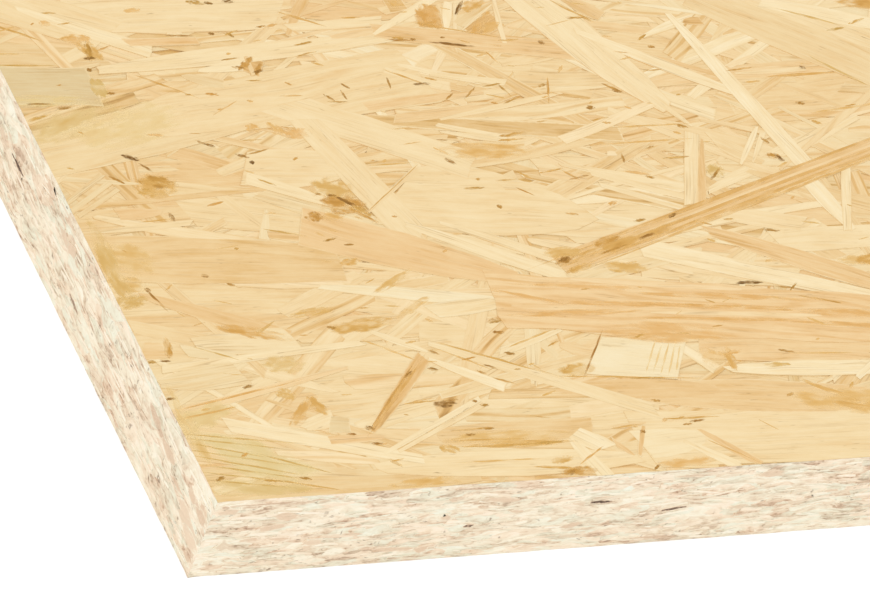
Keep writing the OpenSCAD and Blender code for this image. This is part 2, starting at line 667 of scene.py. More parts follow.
def sight_meets(pixels, point, normal):
    """Where the lines of sight through pixels of the picture meet the plane through a point and square to a
    normal: from the eye, each goes as many times its own reach along the normal as the plane is away."""
    right, down = ((pixels - picture_size / 2) * pixel_slope).T
    sight = right[:, None] * rightward - down[:, None] * upward - backward
    reach = (point - eye) @ normal / (sight @ normal)
    return eye + reach[:, None] * sight


def face_point(pixels):
    """Places on the upper face that pixels of the picture show, in mm from its middle."""
    return sight_meets(pixels, near_corner, np.array([0.0, 0.0, 1.0]))[:, :2] / mm


def seen(rows, where, chance, feather_share, feather_most, **finish):
    """A lay of flakes where the picture shows them. A row gives the pixels of a flake's two ends, its width
    across in pixels, its tone and its blush, and where() turns pixels into places in mm. The width on the
    panel is how far the flake's two sides, found through the pixels on either side of its middle, lie apart
    square to its length. The feather is a share of half the width, up to a most."""
    rows = np.array(rows, float)
    count = len(rows)
    start_pixel = rows[:, 0:2]
    end_pixel = rows[:, 2:4]
    pixel_width, tone, blush = rows[:, 4:].T
    start = where(start_pixel)
    step = where(end_pixel) - start
    length = np.hypot(*step.T)
    axis = end_pixel - start_pixel
    square = np.stack([-axis[:, 1], axis[:, 0]], axis=1) / np.hypot(*axis.T)[:, None]
    across = square * pixel_width[:, None] / 2
    middle = (start_pixel + end_pixel) / 2
    apart = where(middle + across) - where(middle - across)
    width = np.abs(step[:, 0] * apart[:, 1] - step[:, 1] * apart[:, 0]) / length
    x, y = (start + step / 2).T
    heading = np.arctan2(step[:, 1], step[:, 0])
    lay = scattered(count, chance, x, y, length, width, heading, np.zeros(count), tone)
    lay["blush"] = blush
    lay["bow"] = chance.normal(0, 0.004, count) * length
    lay["feather"] = np.minimum(feather_share * np.minimum(width, length) / 2, feather_most)
    set_all(lay, tip=0, roll=0, **finish)
    return lay


def stack(lays, deepest, shallowest):
    """Lays each flake one step above the highest flake that it overlaps, and spreads the steps evenly
    between two depths. Two flakes overlap if, along the run and across the side of both, their middles are
    less far apart than their rectangles reach together; the rectangles are a little too large, for slanted
    ends and bows. The last flake under the middle of another gives the tone and blush that its rim fades
    to."""
    side_reach = 0.6
    bare_tone = 0.42
    names = ("x", "y", "heading", "length", "width", "tone", "blush")
    columns = [np.concatenate([lay[name] for lay in lays]) for name in names]
    x, y, heading, length, width, tone, blush = columns
    place = np.stack([x, y], axis=1)
    run = np.stack([np.cos(heading), np.sin(heading)], axis=1)
    side = np.stack([-np.sin(heading), np.cos(heading)], axis=1)
    half_run = (run.T * (length + width) / 2).T
    half_side = (side.T * width * side_reach).T
    level = np.zeros(len(x))
    bed_tone = np.full(len(x), bare_tone)
    bed_blush = np.zeros(len(x))
    for top in range(len(x)):
        away = place[:top] - place[top]
        overlap = np.ones(top, bool)
        for axis in (run[:top], side[:top], run[top:top + 1], side[top:top + 1]):
            reach = np.abs(np.sum(half_run[:top] * axis, axis=1))
            reach = reach + np.abs(np.sum(half_side[:top] * axis, axis=1))
            reach = reach + np.abs(axis @ half_run[top]) + np.abs(axis @ half_side[top])
            overlap = overlap & (np.abs(np.sum(away * axis, axis=1)) < reach)
        level[top] = 1 + np.max(level[:top][overlap], initial=0.0)
        under_run = np.abs(np.sum(away * run[:top], axis=1)) < length[:top] / 2
        under_side = np.abs(np.sum(away * side[:top], axis=1)) < width[:top] / 2
        beds = np.flatnonzero(under_run & under_side)
        if len(beds):
            bed_tone[top] = tone[beds[-1]]
            bed_blush[top] = blush[beds[-1]]
    ends = np.cumsum([len(lay["x"]) for lay in lays])[:-1]
    found = [np.split(values, ends) for values in (level, bed_tone, bed_blush)]
    for lay, lifts, tones, blushes in zip(lays, *found):
        lay["sunk"] = deepest - (deepest - shallowest) * lifts / level.max()
        lay["bed_tone"] = tones
        lay["bed_blush"] = blushes


seed_most = 400
place_inset = 1
side_gap = 0.2
face_half = panel_half - side_gap
upper_chance = np.random.default_rng(11)
seen_chance = np.random.default_rng(21)

# Broad strands that the picture shows, the lowest first
broad_rows = [
    (-40, 12, 80, 44, 24, 0.44, 0.5), (-60, 51, 100, 53, 26, 0.50, -0.2),
    (0, 113, 114, 108, 26, 0.56, -0.9), (96, 92, 218, 82, 30, 0.44, 0.3),
    (82, 188, 310, 180, 54, 0.49, 0.4), (60, 178, 130, 206, 40, 0.44, 0),
    (66, 226, 205, 212, 26, 0.45, 0.1), (175, 202, 335, 216, 42, 0.38, 0),
    (115, 304, 345, 292, 40, 0.40, 0), (130, 328, 310, 320, 26, 0.46, 0.2),
    (140, 352, 300, 344, 34, 0.40, 0.1), (155, 386, 390, 366, 50, 0.36, -0.1),
    (180, 422, 335, 404, 40, 0.46, 0.3), (184, 436, 430, 462, 44, 0.44, 0.1),
    (205, 488, 480, 474, 40, 0.48, -0.1), (320, 398, 470, 386, 70, 0.35, 0),
    (380, 430, 600, 420, 60, 0.31, 0), (330, 292, 510, 302, 56, 0.38, 0.1),
    (290, 332, 440, 322, 28, 0.42, 0.2), (300, 358, 440, 364, 30, 0.31, 0),
    (420, 350, 620, 352, 60, 0.36, 0), (420, 392, 660, 402, 40, 0.30, 0),
    (560, 440, 720, 436, 60, 0.36, 0), (395, 62, 580, 66, 44, 0.42, 0), (262, 4, 410, 8, 34, 0.49, 0.8),
    (366, 158, 480, 158, 26, 0.38, 0), (440, 112, 700, 112, 34, 0.41, 0.1),
    (585, 44, 700, 52, 44, 0.43, 0.1), (590, 14, 710, 4, 24, 0.28, 0), (590, 94, 700, 122, 34, 0.44, 0.1),
    (590, 142, 705, 132, 30, 0.50, 0.2), (550, 180, 700, 190, 56, 0.34, 0),
    (560, 230, 720, 222, 36, 0.34, 0), (690, 20, 830, 56, 60, 0.45, 0.3),
    (690, 104, 760, 112, 50, 0.43, 0.2), (700, 150, 800, 168, 50, 0.38, 0),
    (730, 102, 920, 84, 48, 0.45, 0.1), (770, 138, 900, 128, 36, 0.34, 0),
    (720, 208, 900, 206, 44, 0.45, 0.5), (780, 250, 920, 244, 34, 0.30, 0),
    (640, 260, 800, 274, 32, 0.33, 0), (500, 340, 620, 336, 40, 0.36, 0),
    (0, 120, 110, 104, 30, 0.56, -0.9),
]
# Broad smooth strands that lie over the short ones
plank_rows = [
    (30, 156, 245, 110, 50, 0.40, -0.1), (105, 128, 420, 74, 62, 0.38, 0),
    (245, 168, 350, 166, 44, 0.35, 0), (60, 14, 282, 5, 46, 0.33, 0), (-60, -14, 110, 34, 36, 0.36, 0),
    (395, 194, 580, 206, 76, 0.36, 0), (380, 468, 640, 456, 34, 0.29, 0),
    (640, 438, 920, 430, 54, 0.33, 0), (640, 394, 900, 396, 40, 0.51, 0.3),
    (700, 342, 920, 344, 40, 0.45, 0.6), (560, 388, 720, 388, 24, 0.54, 0.3),
    (60, 257, 340, 262, 46, 0.53, 0), (690, -8, 920, 88, 38, 0.42, -0.1),
    (776, 240, 920, 232, 24, 0.30, 0),
]
# Amber and greyish patches of lower strands that show between them
patch_rows = [
    (386, 5, 405, 3, 14, 0.70, 0.2), (415, 14.5, 441, 16, 24, 0.68, 0.8),
    (470, 33, 498, 19, 18, 0.68, 0.6), (238, 60, 262, 69, 16, 0.74, 0.4),
    (-60, 85, 94, 86, 38, 0.47, -1.0),
]
# Long strands and strips that lie over them
strip_rows = [
    (16, 8, 152, 51, 13, 0.22, 0), (98, 70, 394, 37, 23, 0.29, 0), (126, 42, 198, 40, 8, 0.52, 0.9),
    (184, 77, 224, 84, 11, 0.44, -0.3), (198, 70, 242, 66, 9, 0.22, 0), (288, 27, 382, 20, 10, 0.30, 0),
    (330, 37, 392, 28, 10, 0.46, 0.6), (372, 30, 610, 53, 18, 0.53, 0.7), (374, 34, 442, -8, 10, 0.20, 0),
    (384, 69, 442, 86, 6, 0.30, 0), (398, 64, 474, 80, 6, 0.27, 0), (430, 73, 506, 82, 6, 0.31, 0),
    (365, 106, 484, 92, 10, 0.50, 0.7), (395, 118, 505, 104, 12, 0.49, 0.5),
    (440, 119, 562, 92, 8, 0.34, 0), (283, 104, 474, 166, 28, 0.32, 0), (436, 124, 508, 137, 6, 0.25, 0),
    (440, 131, 508, 141, 6, 0.29, 0), (303, 118, 422, 243, 30, 0.33, 0),
    (417, 167, 364, 216, 6, 0.42, 0.1), (505, -20, 668, 108, 42, 0.28, 0),
    (560, -4, 602, 16, 14, 0.52, 0.3), (574, 30, 752, 98, 13, 0.24, 0), (594, 50, 692, 126, 8, 0.28, 0),
    (562, 140, 652, 103, 11, 0.22, 0.4), (607, 153, 617, 153, 6, 0.20, 0.5),
    (560, 164, 692, 188, 8, 0.28, 0), (590, 172, 692, 198, 7, 0.33, 0), (600, 184, 684, 208, 6, 0.28, 0),
    (692, 132, 692, 204, 15, 0.30, 0), (702, 138, 702, 204, 9, 0.58, 0.5),
    (712, 140, 764, 162, 14, 0.40, 0), (741, 164, 757, 126, 9, 0.20, 0), (753, 162, 763, 132, 6, 0.24, 0),
    (740, -8, 920, 58, 20, 0.37, 0), (760, 1, 920, 32, 15, 0.22, 0), (728, 66, 752, 55, 5, 0.30, 0.4),
    (735, 73, 806, 68, 6, 0.33, 0.2), (668, 13, 808, 167, 15.5, 0.18, 0),
    (800, 170, 853, 229, 17, 0.15, 0), (846, 160, 848, 230, 11, 0.25, 0),
    (715, 214, 804, 223, 18, 0.34, 0.1), (706, 230, 920, 295, 22, 0.53, 0.6),
    (640, 246, 920, 304, 17, 0.20, 0), (246, 177, 350, 208, 12, 0.26, 0),
    (300, 226, 520, 278, 38, 0.50, 0.9), (405, 224, 568, 277, 14, 0.27, 0),
    (440, 222, 572, 263, 9, 0.30, 0), (540, 172, 586, 178, 9, 0.46, 0.5),
    (500, 184, 548, 187, 10, 0.37, 0), (118, 214, 162, 212, 12, 0.50, 0.8),
    (96, 232, 192, 222, 7, 0.35, 0), (62, 206, 102, 174, 6, 0.42, -0.2),
    (68, 214, 110, 182, 6, 0.35, -0.2), (78, 216, 118, 188, 6, 0.42, -0.2),
    (140, 295, 290, 337, 15, 0.57, 0.4), (196, 346, 292, 338, 24, 0.30, -0.1),
    (142, 350, 166, 350, 18, 0.51, 0.4), (184, 350, 240, 358, 10, 0.34, -0.3),
    (162, 369, 362, 342, 8, 0.22, 0), (160, 384, 240, 372, 26, 0.35, -0.2),
    (168, 415, 348, 367, 9, 0.40, 0.7), (226, 424, 424, 459, 13, 0.20, 0),
    (304, 428, 334, 416, 20, 0.28, 0), (330, 424, 350, 424, 16, 0.42, -0.5),
    (330, 440, 386, 436, 10, 0.45, 0.9), (366, 329, 428, 351, 8, 0.22, 0),
    (428, 343, 656, 410, 12.5, 0.31, 0), (428, 358, 506, 387, 10, 0.17, 0),
    (500, 352, 562, 329, 9, 0.29, 0), (560, 345, 594, 352, 14, 0.43, 0.3),
    (432, 311, 508, 300, 18, 0.28, 0), (440, 437, 592, 426, 24, 0.52, 0),
    (385, 453, 480, 398, 6, 0.22, 0), (399, 451, 484, 404, 5, 0.25, 0), (574, 432, 608, 447, 18, 0.15, 0),
    (570, 438, 613, 480, 13, 0.20, 0), (642, 444, 706, 438, 30, 0.22, -0.1),
    (640, 455, 644, 425, 6, 0.58, 0.6), (684, 440, 750, 470, 9, 0.20, 0),
    (698, 428, 767, 467, 8, 0.56, 0.6), (728, 369, 882, 366, 18, 0.19, 0),
    (858, 377, 876, 359, 8, 0.14, 0), (680, 345, 717, 369, 10, 0.13, 0), (668, 419, 724, 410, 5, 0.36, 0),
    (614, 427, 646, 422, 5, 0.48, 0.2), (614, 441, 635, 455, 5, 0.50, 0.6),
    (448, 1, 447, 30, 11, 0.17, 0.2), (455, 3, 455, 29, 4, 0.24, 0.3), (458, 24, 494, 2, 13, 0.50, -0.2),
    (462, 30, 492, 4, 4, 0.30, 0), (493, -4, 505, 43, 6, 0.26, 0.3), (246, 56, 254, 75, 5, 0.46, 0.2),
    (683, 20.5, 702, 20.5, 9, 0.68, 0.6), (424, 356, 373, 431, 16, 0.65, 0.7),
    (560, 264, 930, 124, 21, 0.58, 0.5),
]
# Long ringed strand and the pale block beside it, whose slanting ends the picture shows
ringed_rows = [(496, 300, 940, 322, 54, 0.44, 0.9)]
block_rows = [(594, 355, 682, 360, 38, 0.16, -0.2)]
# Pale stripes of the ringed strand and of the long amber strand
stripe_rows = [
    (570, 279, 742, 289, 7, 0.34, 0.8), (650, 312, 822, 315, 6, 0.33, 0.4),
    (512, 305, 586, 309, 9, 0.40, 0.8), (570, 260, 930, 122, 5, 0.40, 0.7),
    (640, 246, 930, 135, 4.5, 0.42, 0.6),
]
# Dark growth rings of the same two strands and of the orange short strand
ring_rows = [
    (494, 290, 566, 304, 5, 0.57, 1.0), (520, 284, 640, 288, 5, 0.52, 1.0),
    (640, 293, 806, 299, 6, 0.57, 1.0), (560, 302, 700, 305, 6, 0.57, 1.0),
    (650, 304, 800, 309, 6, 0.60, 1.0), (800, 311, 930, 315, 9, 0.58, 1.0),
    (508, 315, 640, 310, 7, 0.57, 1.0), (640, 317, 810, 320, 5, 0.60, 1.0),
    (790, 321, 930, 328, 6, 0.58, 1.0), (612, 330, 724, 335, 22, 0.53, 1.0),
    (421, 359, 371, 431, 7, 0.62, 0.4), (412, 366, 371, 428, 3, 0.72, 0.2),
    (563, 256, 930, 116, 5, 0.63, 0.3), (590, 255, 930, 125.5, 4, 0.60, 0.4),
    (572, 269, 930, 132, 5, 0.61, 0.2), (600, 263, 930, 135, 4, 0.62, 0.2),
]
# Resin stains, knots and dull patches with soft borders
stain_rows = [
    (80, 40, 100, 60, 16, 0.60, 0), (86, 42, 91, 60, 8, 0.72, -0.4), (130, 183, 178, 184, 22, 0.60, 0),
    (138, 179, 174, 183, 14, 0.72, -0.1), (138, 192, 168, 194, 10, 0.62, -0.2),
    (92, 88, 106, 88, 22, 0.54, -0.9), (444, 151, 528, 148, 18, 0.56, 0.2),
    (312, 190, 354, 190, 26, 0.58, -0.3), (320, 206, 364, 203, 20, 0.70, 0.5),
    (352, 206, 370, 216, 9, 0.66, -0.3), (306, 218, 322, 215, 12, 0.74, 0.5),
    (316, 215, 344, 217, 10, 0.58, 0.3), (594, 246, 622, 236, 12, 0.70, 0.2),
    (568, 272, 594, 263, 8, 0.64, 0), (602, 266, 646, 268, 12, 0.58, -0.2),
    (568, 263, 680, 221, 14, 0.64, 0.1), (556, 264, 572, 256, 10, 0.78, 0.2),
    (545, 254, 580, 250, 12, 0.56, -0.2), (108, 304, 146, 299, 16, 0.58, -0.6),
    (92, 258, 152, 262, 38, 0.50, -0.2), (106, 284, 152, 284, 16, 0.54, -0.2),
    (216, 326, 288, 338, 12, 0.63, 0.5), (166, 338, 170, 358, 10, 0.70, 0.1),
    (262, 366, 304, 362, 20, 0.50, -0.5), (200, 486, 310, 490, 20, 0.47, -0.8),
    (172, 430, 232, 404, 28, 0.43, -0.6), (292, 426, 312, 397, 13, 0.62, 0.3),
    (308, 396, 326, 414, 12, 0.62, 0), (560, 372, 594, 366, 14, 0.60, -0.2),
    (725, 346, 735, 370, 11, 0.58, 0.2), (698, 354, 728, 362, 20, 0.52, 0.3),
    (798, 398, 920, 402, 26, 0.54, 0), (836, 402, 920, 412, 10, 0.60, 0.1),
    (660, 467, 716, 460, 14, 0.52, 0.5), (562, 475, 596, 469, 13, 0.72, 0.3),
    (552, 462, 572, 457, 9, 0.64, -0.2), (392, 488, 460, 480, 14, 0.56, 0),
    (376, 292, 410, 270, 10, 0.56, -0.2), (398, 317, 428, 297, 10, 0.56, -0.1),
    (332, 330, 390, 320, 15, 0.62, -0.1), (292, 315, 332, 308, 9, 0.58, -0.2),
    (340, 263, 360, 260, 8, 0.62, 0.2), (764, 364, 790, 363.5, 5, 0.56, -0.6),
    (276, 392, 296, 396, 12, 0.58, -0.3), (62, 40, 90, 38, 12, 0.54, 0.6),
    (246, 128, 260, 127, 10, 0.56, 0.4), (280, 134, 312, 132, 12, 0.52, 0.8),
    (268, 122, 284, 136, 10, 0.56, 0.2), (440, 448, 460, 449, 9, 0.60, -0.2),
    (444, 441, 564, 434, 16, 0.53, -0.1), (470, 446, 568, 441, 7, 0.62, 0),
    (838, 260, 876, 258, 10, 0.50, -0.1), (114, 104, 30, 138, 34, 0.48, -0.7),
    (-20, 101, 92, 100, 12, 0.44, -0.7), (84, 140, 176, 110, 44, 0.40, -0.4),
    (766, 155, 780, 156, 7, 0.72, 0.4), (706, 170, 724, 170, 14, 0.56, -0.8),
    (836, 2, 900, 4, 12, 0.64, 0.4), (40, 24, 50, 22, 8, 0.50, 0.6), (124, 11, 140, 9, 6, 0.52, 0.4),
    (416, 22, 442, 26, 8, 0.66, 0.6), (417, 12, 440, 14, 20, 0.62, 0.9),
    (472, 32, 490, 12, 12, 0.58, 0.6), (480, 32, 498, 22, 12, 0.56, 0.3), (390, 4, 402, 2, 12, 0.58, 0.2),
    (462, 10, 482, 0, 14, 0.62, 0.2), (240, 70, 252, 57, 9, 0.72, 0.3), (255, 74, 262, 63, 7, 0.76, 0.1),
    (84, 222, 128, 306, 26, 0.55, -0.6), (162, 386, 212, 474, 22, 0.48, -0.4),
    (196, 444, 310, 474, 40, 0.37, -0.9), (858, 262, 884, 256, 13, 0.64, 0.2),
]
# Dark borders, chinks and cracks, which are painted shade, specks of bark, and last the faint lines across
# the pale block
mark_rows = [
    (-20, 20, 46, 42, 2.6, 0.66, 0), (-20, 65, 54, 65, 2, 0.66, -0.6), (-20, 53, 24, 53, 1.6, 0.60, -0.2),
    (84, 58.5, 96, 57, 3.4, 0.90, -0.2), (87, 68, 92, 71, 4, 0.86, 0),
    (26, 104, 52, 103.5, 2.2, 0.80, -0.6), (57, 108.5, 74, 106, 4, 0.82, -0.2),
    (24, 122, 50, 114, 4, 0.66, -0.4), (107, 93, 116, 93, 3, 0.80, 0), (166, 35, 192, 35.5, 2, 0.82, 0),
    (136, 75, 197, 97, 2.2, 0.66, 0.3), (208, 33, 216, 33.5, 3, 0.85, -0.2),
    (227, 32, 234, 37, 3, 0.78, -0.4), (186, 1, 204, 3, 5, 0.72, -0.8), (204, 2, 213, 3, 3.4, 0.88, -0.4),
    (222, 1, 234, 1, 4, 0.95, 0), (256, 27, 266, 25, 2.4, 0.78, 0), (294, 45, 313, 41, 2.6, 0.72, -0.3),
    (296, 56, 316, 51, 2.2, 0.74, -0.3), (221, 60, 240, 57, 2.2, 0.76, -0.2),
    (232, 66.5, 244, 67.5, 3, 0.82, 0), (253, 72.5, 263, 69, 4, 0.88, 0),
    (121, 154.5, 139, 159.5, 5, 0.97, 0.2), (139, 163, 153, 171.5, 2.6, 0.86, 0),
    (196, 140, 204, 143, 2.4, 0.82, -0.2), (203, 143, 215, 146, 2.6, 0.88, -0.2),
    (235, 154, 249, 157, 3.2, 0.88, 0), (247, 154.5, 268, 148.5, 2.2, 0.76, -0.2),
    (250, 161, 254.5, 163, 4.2, 0.99, 0), (109, 176, 125, 183, 2.6, 0.76, 0),
    (280, 12, 323, 25, 2.6, 0.64, 0.4), (339, 17.5, 359, 17, 2.2, 0.66, 0.2),
    (455.5, 15, 462, 1, 5, 0.94, 0), (416, 23, 500, 37, 1.6, 0.64, 0.3),
    (431, 41.5, 474, 46, 3, 0.90, 0.2), (387, 39.5, 417, 40, 2.4, 0.78, 0.4),
    (410, 39, 416, 39, 3, 0.84, 0), (440, 37, 445, 37, 2, 0.82, 0), (538, 41, 545, 43, 4, 0.88, 0),
    (384, 69, 426, 84, 2.2, 0.66, 0.2), (414, 84, 430, 83, 3.6, 0.92, -0.2),
    (324, 94, 336, 101, 2.6, 0.78, -0.5), (341, 90, 347, 99, 2.6, 0.80, -0.2),
    (328, 101, 347, 101.5, 2, 0.74, -0.5), (341, 83, 350, 88, 2.6, 0.80, -0.2),
    (387, 77, 391, 88, 2.6, 0.78, -0.4), (444, 101, 453, 93, 2.6, 0.76, 0),
    (465, 98, 475, 87, 2.6, 0.76, -0.2), (483, 86, 501, 83, 2.2, 0.72, -0.4),
    (497, 83, 511, 95, 2.2, 0.74, -0.4), (504, 103, 521, 96, 2.2, 0.70, -0.3),
    (538, 86, 546, 83, 4, 0.78, -0.3), (547.5, 77, 549, 102, 3, 0.68, 0.6),
    (586, 107, 595, 107, 4.4, 0.80, -0.2), (445, 158, 456, 163.5, 4, 0.86, 0),
    (500, 136, 526, 132, 4, 0.70, 0), (498, 140.5, 522, 138, 3, 0.68, 0.2),
    (370, 165, 416, 162, 1.8, 0.60, 0), (416, 166, 365, 214, 1.8, 0.70, 0.2),
    (547, -2, 592, 21, 3, 0.68, 0.1), (565, 17.5, 583, 17, 2.6, 0.72, -0.2),
    (648, 46, 655, 46, 3.4, 0.76, 0), (602, 83, 623, 92, 2.4, 0.72, 0),
    (612, 89.5, 622, 91.5, 3.2, 0.84, 0), (589, 120.5, 608, 117, 2, 0.68, 0),
    (612, 127, 690, 123, 2.2, 0.62, 0), (675, 124.5, 688, 127, 4, 0.76, -0.2),
    (600, 144, 690, 138, 2.2, 0.58, 0.3), (646, 148, 654, 145.5, 2.6, 0.80, -0.2),
    (663, 158, 689, 156, 2.6, 0.76, -0.2), (621.5, 153, 624.5, 162, 3.2, 0.80, -0.2),
    (646, 176, 655, 177.5, 3, 0.76, -0.2), (711, 179, 721, 167, 4, 0.80, -0.2),
    (761, 137, 769, 143, 3, 0.78, -0.2), (775, 154.5, 784, 161, 5, 0.95, 0),
    (727, 70.5, 752, 67, 2.2, 0.72, 0), (799, 66.5, 806, 67.5, 3.6, 0.93, -0.2),
    (770, 76, 832, 72, 3, 0.60, 0.4), (814, 112, 890, 101, 2.6, 0.58, 0.1),
    (796, 102, 805, 102.5, 4, 0.80, -0.2), (770, 6, 842, 25, 2.2, 0.58, -0.6),
    (812, 57, 864, 83, 2.6, 0.60, -0.7), (827, 30, 845, 27, 3, 0.68, -0.9),
    (140, 222, 174, 218, 1.8, 0.66, 0), (169, 212, 175, 221, 4.4, 0.88, -0.2),
    (256, 178, 276, 185, 2, 0.66, -0.5), (265, 229, 306, 235.5, 2.2, 0.66, -0.5),
    (337, 197, 357, 206, 4, 0.88, 0.3), (343, 205, 378, 222, 4, 0.72, 0.5),
    (315, 193.5, 322, 194, 3, 0.78, -0.2), (327, 195, 336, 195, 3, 0.84, 0),
    (324, 241, 336, 237.5, 3, 0.76, -0.6), (344, 244.5, 354, 244, 2.4, 0.78, -0.2),
    (540, 172.5, 562, 168, 2.2, 0.68, 0.2), (560, 169, 580, 179, 2.2, 0.70, 0.3),
    (570, 179, 588, 175, 3, 0.80, 0.2), (498, 180, 520, 179, 2.2, 0.70, -0.2),
    (463, 188.5, 484, 187, 3, 0.74, -0.6), (497, 205, 503, 207.5, 4, 0.76, -0.2),
    (634, 221, 646, 219, 3.4, 0.76, -0.4), (559, 262.5, 569, 257, 6, 0.86, 0.2),
    (668, 217.5, 677, 213, 4, 0.90, 0), (638, 239, 654, 233, 4, 0.84, 0.5),
    (600, 254, 628, 244, 2.6, 0.78, 0.2), (763, 229, 780, 230.5, 3, 0.80, -0.4),
    (736, 282.5, 762, 282, 4, 0.96, 0), (776, 286, 793, 287.5, 2.6, 0.78, -0.2),
    (790.5, 290, 797, 282, 2.8, 0.78, -0.3), (798, 295, 840, 302.5, 2.4, 0.72, 0),
    (201, 275, 209, 275.5, 4, 0.84, 0), (227, 283.5, 235, 285, 3.4, 0.78, -0.2),
    (144, 289, 151, 290, 4, 0.84, 0), (146, 289, 167, 310, 2.8, 0.80, 0.1),
    (327, 327, 336, 327.5, 4.4, 0.78, -0.2), (364, 340, 414, 359, 2.4, 0.58, 0),
    (488, 322, 501, 319, 6, 0.78, -0.4), (493, 332, 504, 332, 4, 0.80, 0.5),
    (504, 352.5, 515, 353.5, 3.6, 0.80, -0.3), (509, 347, 552, 329, 2.6, 0.60, -0.1),
    (602, 331, 584.5, 376, 2.6, 0.82, 0.9), (560, 376, 702, 378, 2.2, 0.62, 0.1),
    (630, 378, 664, 377, 2, 0.70, -0.4), (778, 349, 795, 351.5, 2.6, 0.80, -0.2),
    (790, 352.5, 850, 352, 2, 0.58, 0), (804, 380, 860, 400, 5, 0.58, 0.1),
    (651, 399.5, 661, 400.5, 3, 0.76, -0.2), (666, 418.5, 718, 416, 2.2, 0.66, 0),
    (690, 421, 705, 419, 3, 0.84, 0), (683, 424, 692, 423, 3, 0.78, 0),
    (710, 440, 764, 464, 2, 0.60, 0.5), (640.5, 431, 646, 431, 4, 0.84, 0),
    (655, 470, 660, 464, 4, 0.80, -0.2), (569, 475, 575, 469, 5, 0.88, 0),
    (536, 466, 582, 468, 2.8, 0.66, 0), (612, 428, 642, 423.5, 2.2, 0.66, 0),
    (147, 362, 158, 361, 4, 0.76, -0.7), (159, 361, 171, 360.5, 2.6, 0.93, 0),
    (195, 347, 240, 359.5, 1.8, 0.62, -0.6), (165, 399, 176, 398, 3.4, 0.90, -0.2),
    (172, 411, 300, 380, 2.6, 0.60, 0.9), (243, 387.5, 254, 385, 3.6, 0.84, -0.2),
    (176, 420, 234, 407, 2.4, 0.60, 0.2), (184, 434, 300, 443, 2, 0.58, -0.8),
    (190, 443, 262, 456, 2, 0.62, -0.9), (256, 453, 330, 472, 2, 0.62, -0.8),
    (196, 456, 300, 474, 2, 0.60, -0.9), (200, 464, 300, 478, 2, 0.60, -0.9),
    (192, 450, 300, 466, 2, 0.58, -0.9), (204, 472, 310, 484, 2, 0.60, -0.9),
    (186, 438, 280, 448, 2, 0.58, -0.9), (210, 480, 300, 488, 2, 0.58, -0.9),
    (300, 477, 312, 479, 3, 0.76, -0.2), (264, 480, 282, 481, 2.4, 0.68, -0.4),
    (280, 480, 342, 490, 2, 0.64, -0.2), (216.5, 481, 225, 476, 5, 0.80, -0.5),
    (346, 434, 357, 433.5, 2.8, 0.82, 0.5), (365, 427, 375, 428.5, 5, 0.88, 0),
    (405, 377, 412, 371, 4, 0.84, 0), (434, 404.5, 456, 402, 8, 0.92, 0.1),
    (446, 400, 459, 399, 2.2, 0.84, 0), (428, 368, 438, 369.5, 3.6, 0.84, -0.4),
    (404, 403.5, 436, 400, 2, 0.66, 0), (484, 364, 498, 368.5, 2.6, 0.84, 0),
    (477, 370, 487, 373.5, 2.6, 0.78, 0), (494, 377.5, 518, 383.5, 2.2, 0.74, 0),
    (429, 350, 440, 354, 2.6, 0.80, -0.3), (429, 340, 562, 377, 2.2, 0.64, -0.2),
    (434, 347, 492, 369, 1.8, 0.62, 0), (472, 400, 478, 401, 3, 0.78, 0),
    (480, 405, 490, 404, 3.4, 0.78, -0.3), (452, 430.5, 492, 427, 2.6, 0.72, 0),
    (484, 428, 494, 427.5, 3.4, 0.78, 0), (465, 434.5, 477, 433.5, 3.2, 0.84, 0),
    (452, 440, 524, 438, 2.2, 0.64, 0), (470, 446.5, 562, 442, 3, 0.68, -0.2),
    (538, 442.5, 562, 441, 3, 0.66, -0.5), (384, 443, 372, 443, 3, 0.84, 0),
    (460, 462, 540, 458, 2, 0.58, 0), (646, 372, 655, 342, 2.6, 0.45, -0.2),
    (653, 373, 662, 343, 2.4, 0.43, -0.2), (661, 373, 669, 343, 2.6, 0.45, -0.2),
    (669, 373, 675, 344, 2.4, 0.43, -0.2), (676, 373, 680, 346, 2.4, 0.43, -0.2),
]
# How far the picture shows the face, with some to spare, and the row where the front edge leaves it
picture_spare = 60.0
edge_leaves_row = 470.0
right_border = picture_size[0] + picture_spare
picture_corners = np.array([
    [-picture_spare, -picture_spare],
    [right_border, -picture_spare],
    [right_border, edge_leaves_row],
])
seen_reach = face_point(picture_corners).max(axis=0)
seen_depth = 0.22
seen_top = 0.03
broad_lay = seen(
    broad_rows, face_point, seen_chance, feather_share=0.2, feather_most=0.4,
    grain=0.9, ragged=0.02, stain=0.05, rings=0.2,
)
# Short strands lie about on the broad ones, each nearly of the colour of the one below
short_margin = 3.0
short_count = 420
short_length = 30
short_width = 2.8
short_widest = 4.2
short_feather_share = 0.5
short_feather_most = 0.6
short_stain_share = 0.3
short_blush_share = 0.6
seen_half = (seen_reach + panel_half - short_margin) / 2
short_lay = narrow_strands(seen_chance, seen_half, short_count, short_length, short_width)
short_lay = moved(short_lay, seen_reach - seen_half)
short_lay["feather"] = np.minimum(short_feather_share * short_lay["width"] / 2, short_feather_most)
short_lay["stain"] = short_lay["stain"] * short_stain_share
short_lay["blush"] = short_lay["blush"] * short_blush_share
short_lay["width"] = np.minimum(short_lay["width"], short_widest)
set_all(short_lay, tip=0, roll=0)
stack([broad_lay, short_lay], seen_depth, seen_top)
tone_step = seen_chance.normal(-0.01, 0.065, short_count)
short_lay["tone"] = np.clip(short_lay["bed_tone"] + tone_step, 0.16, 0.62)

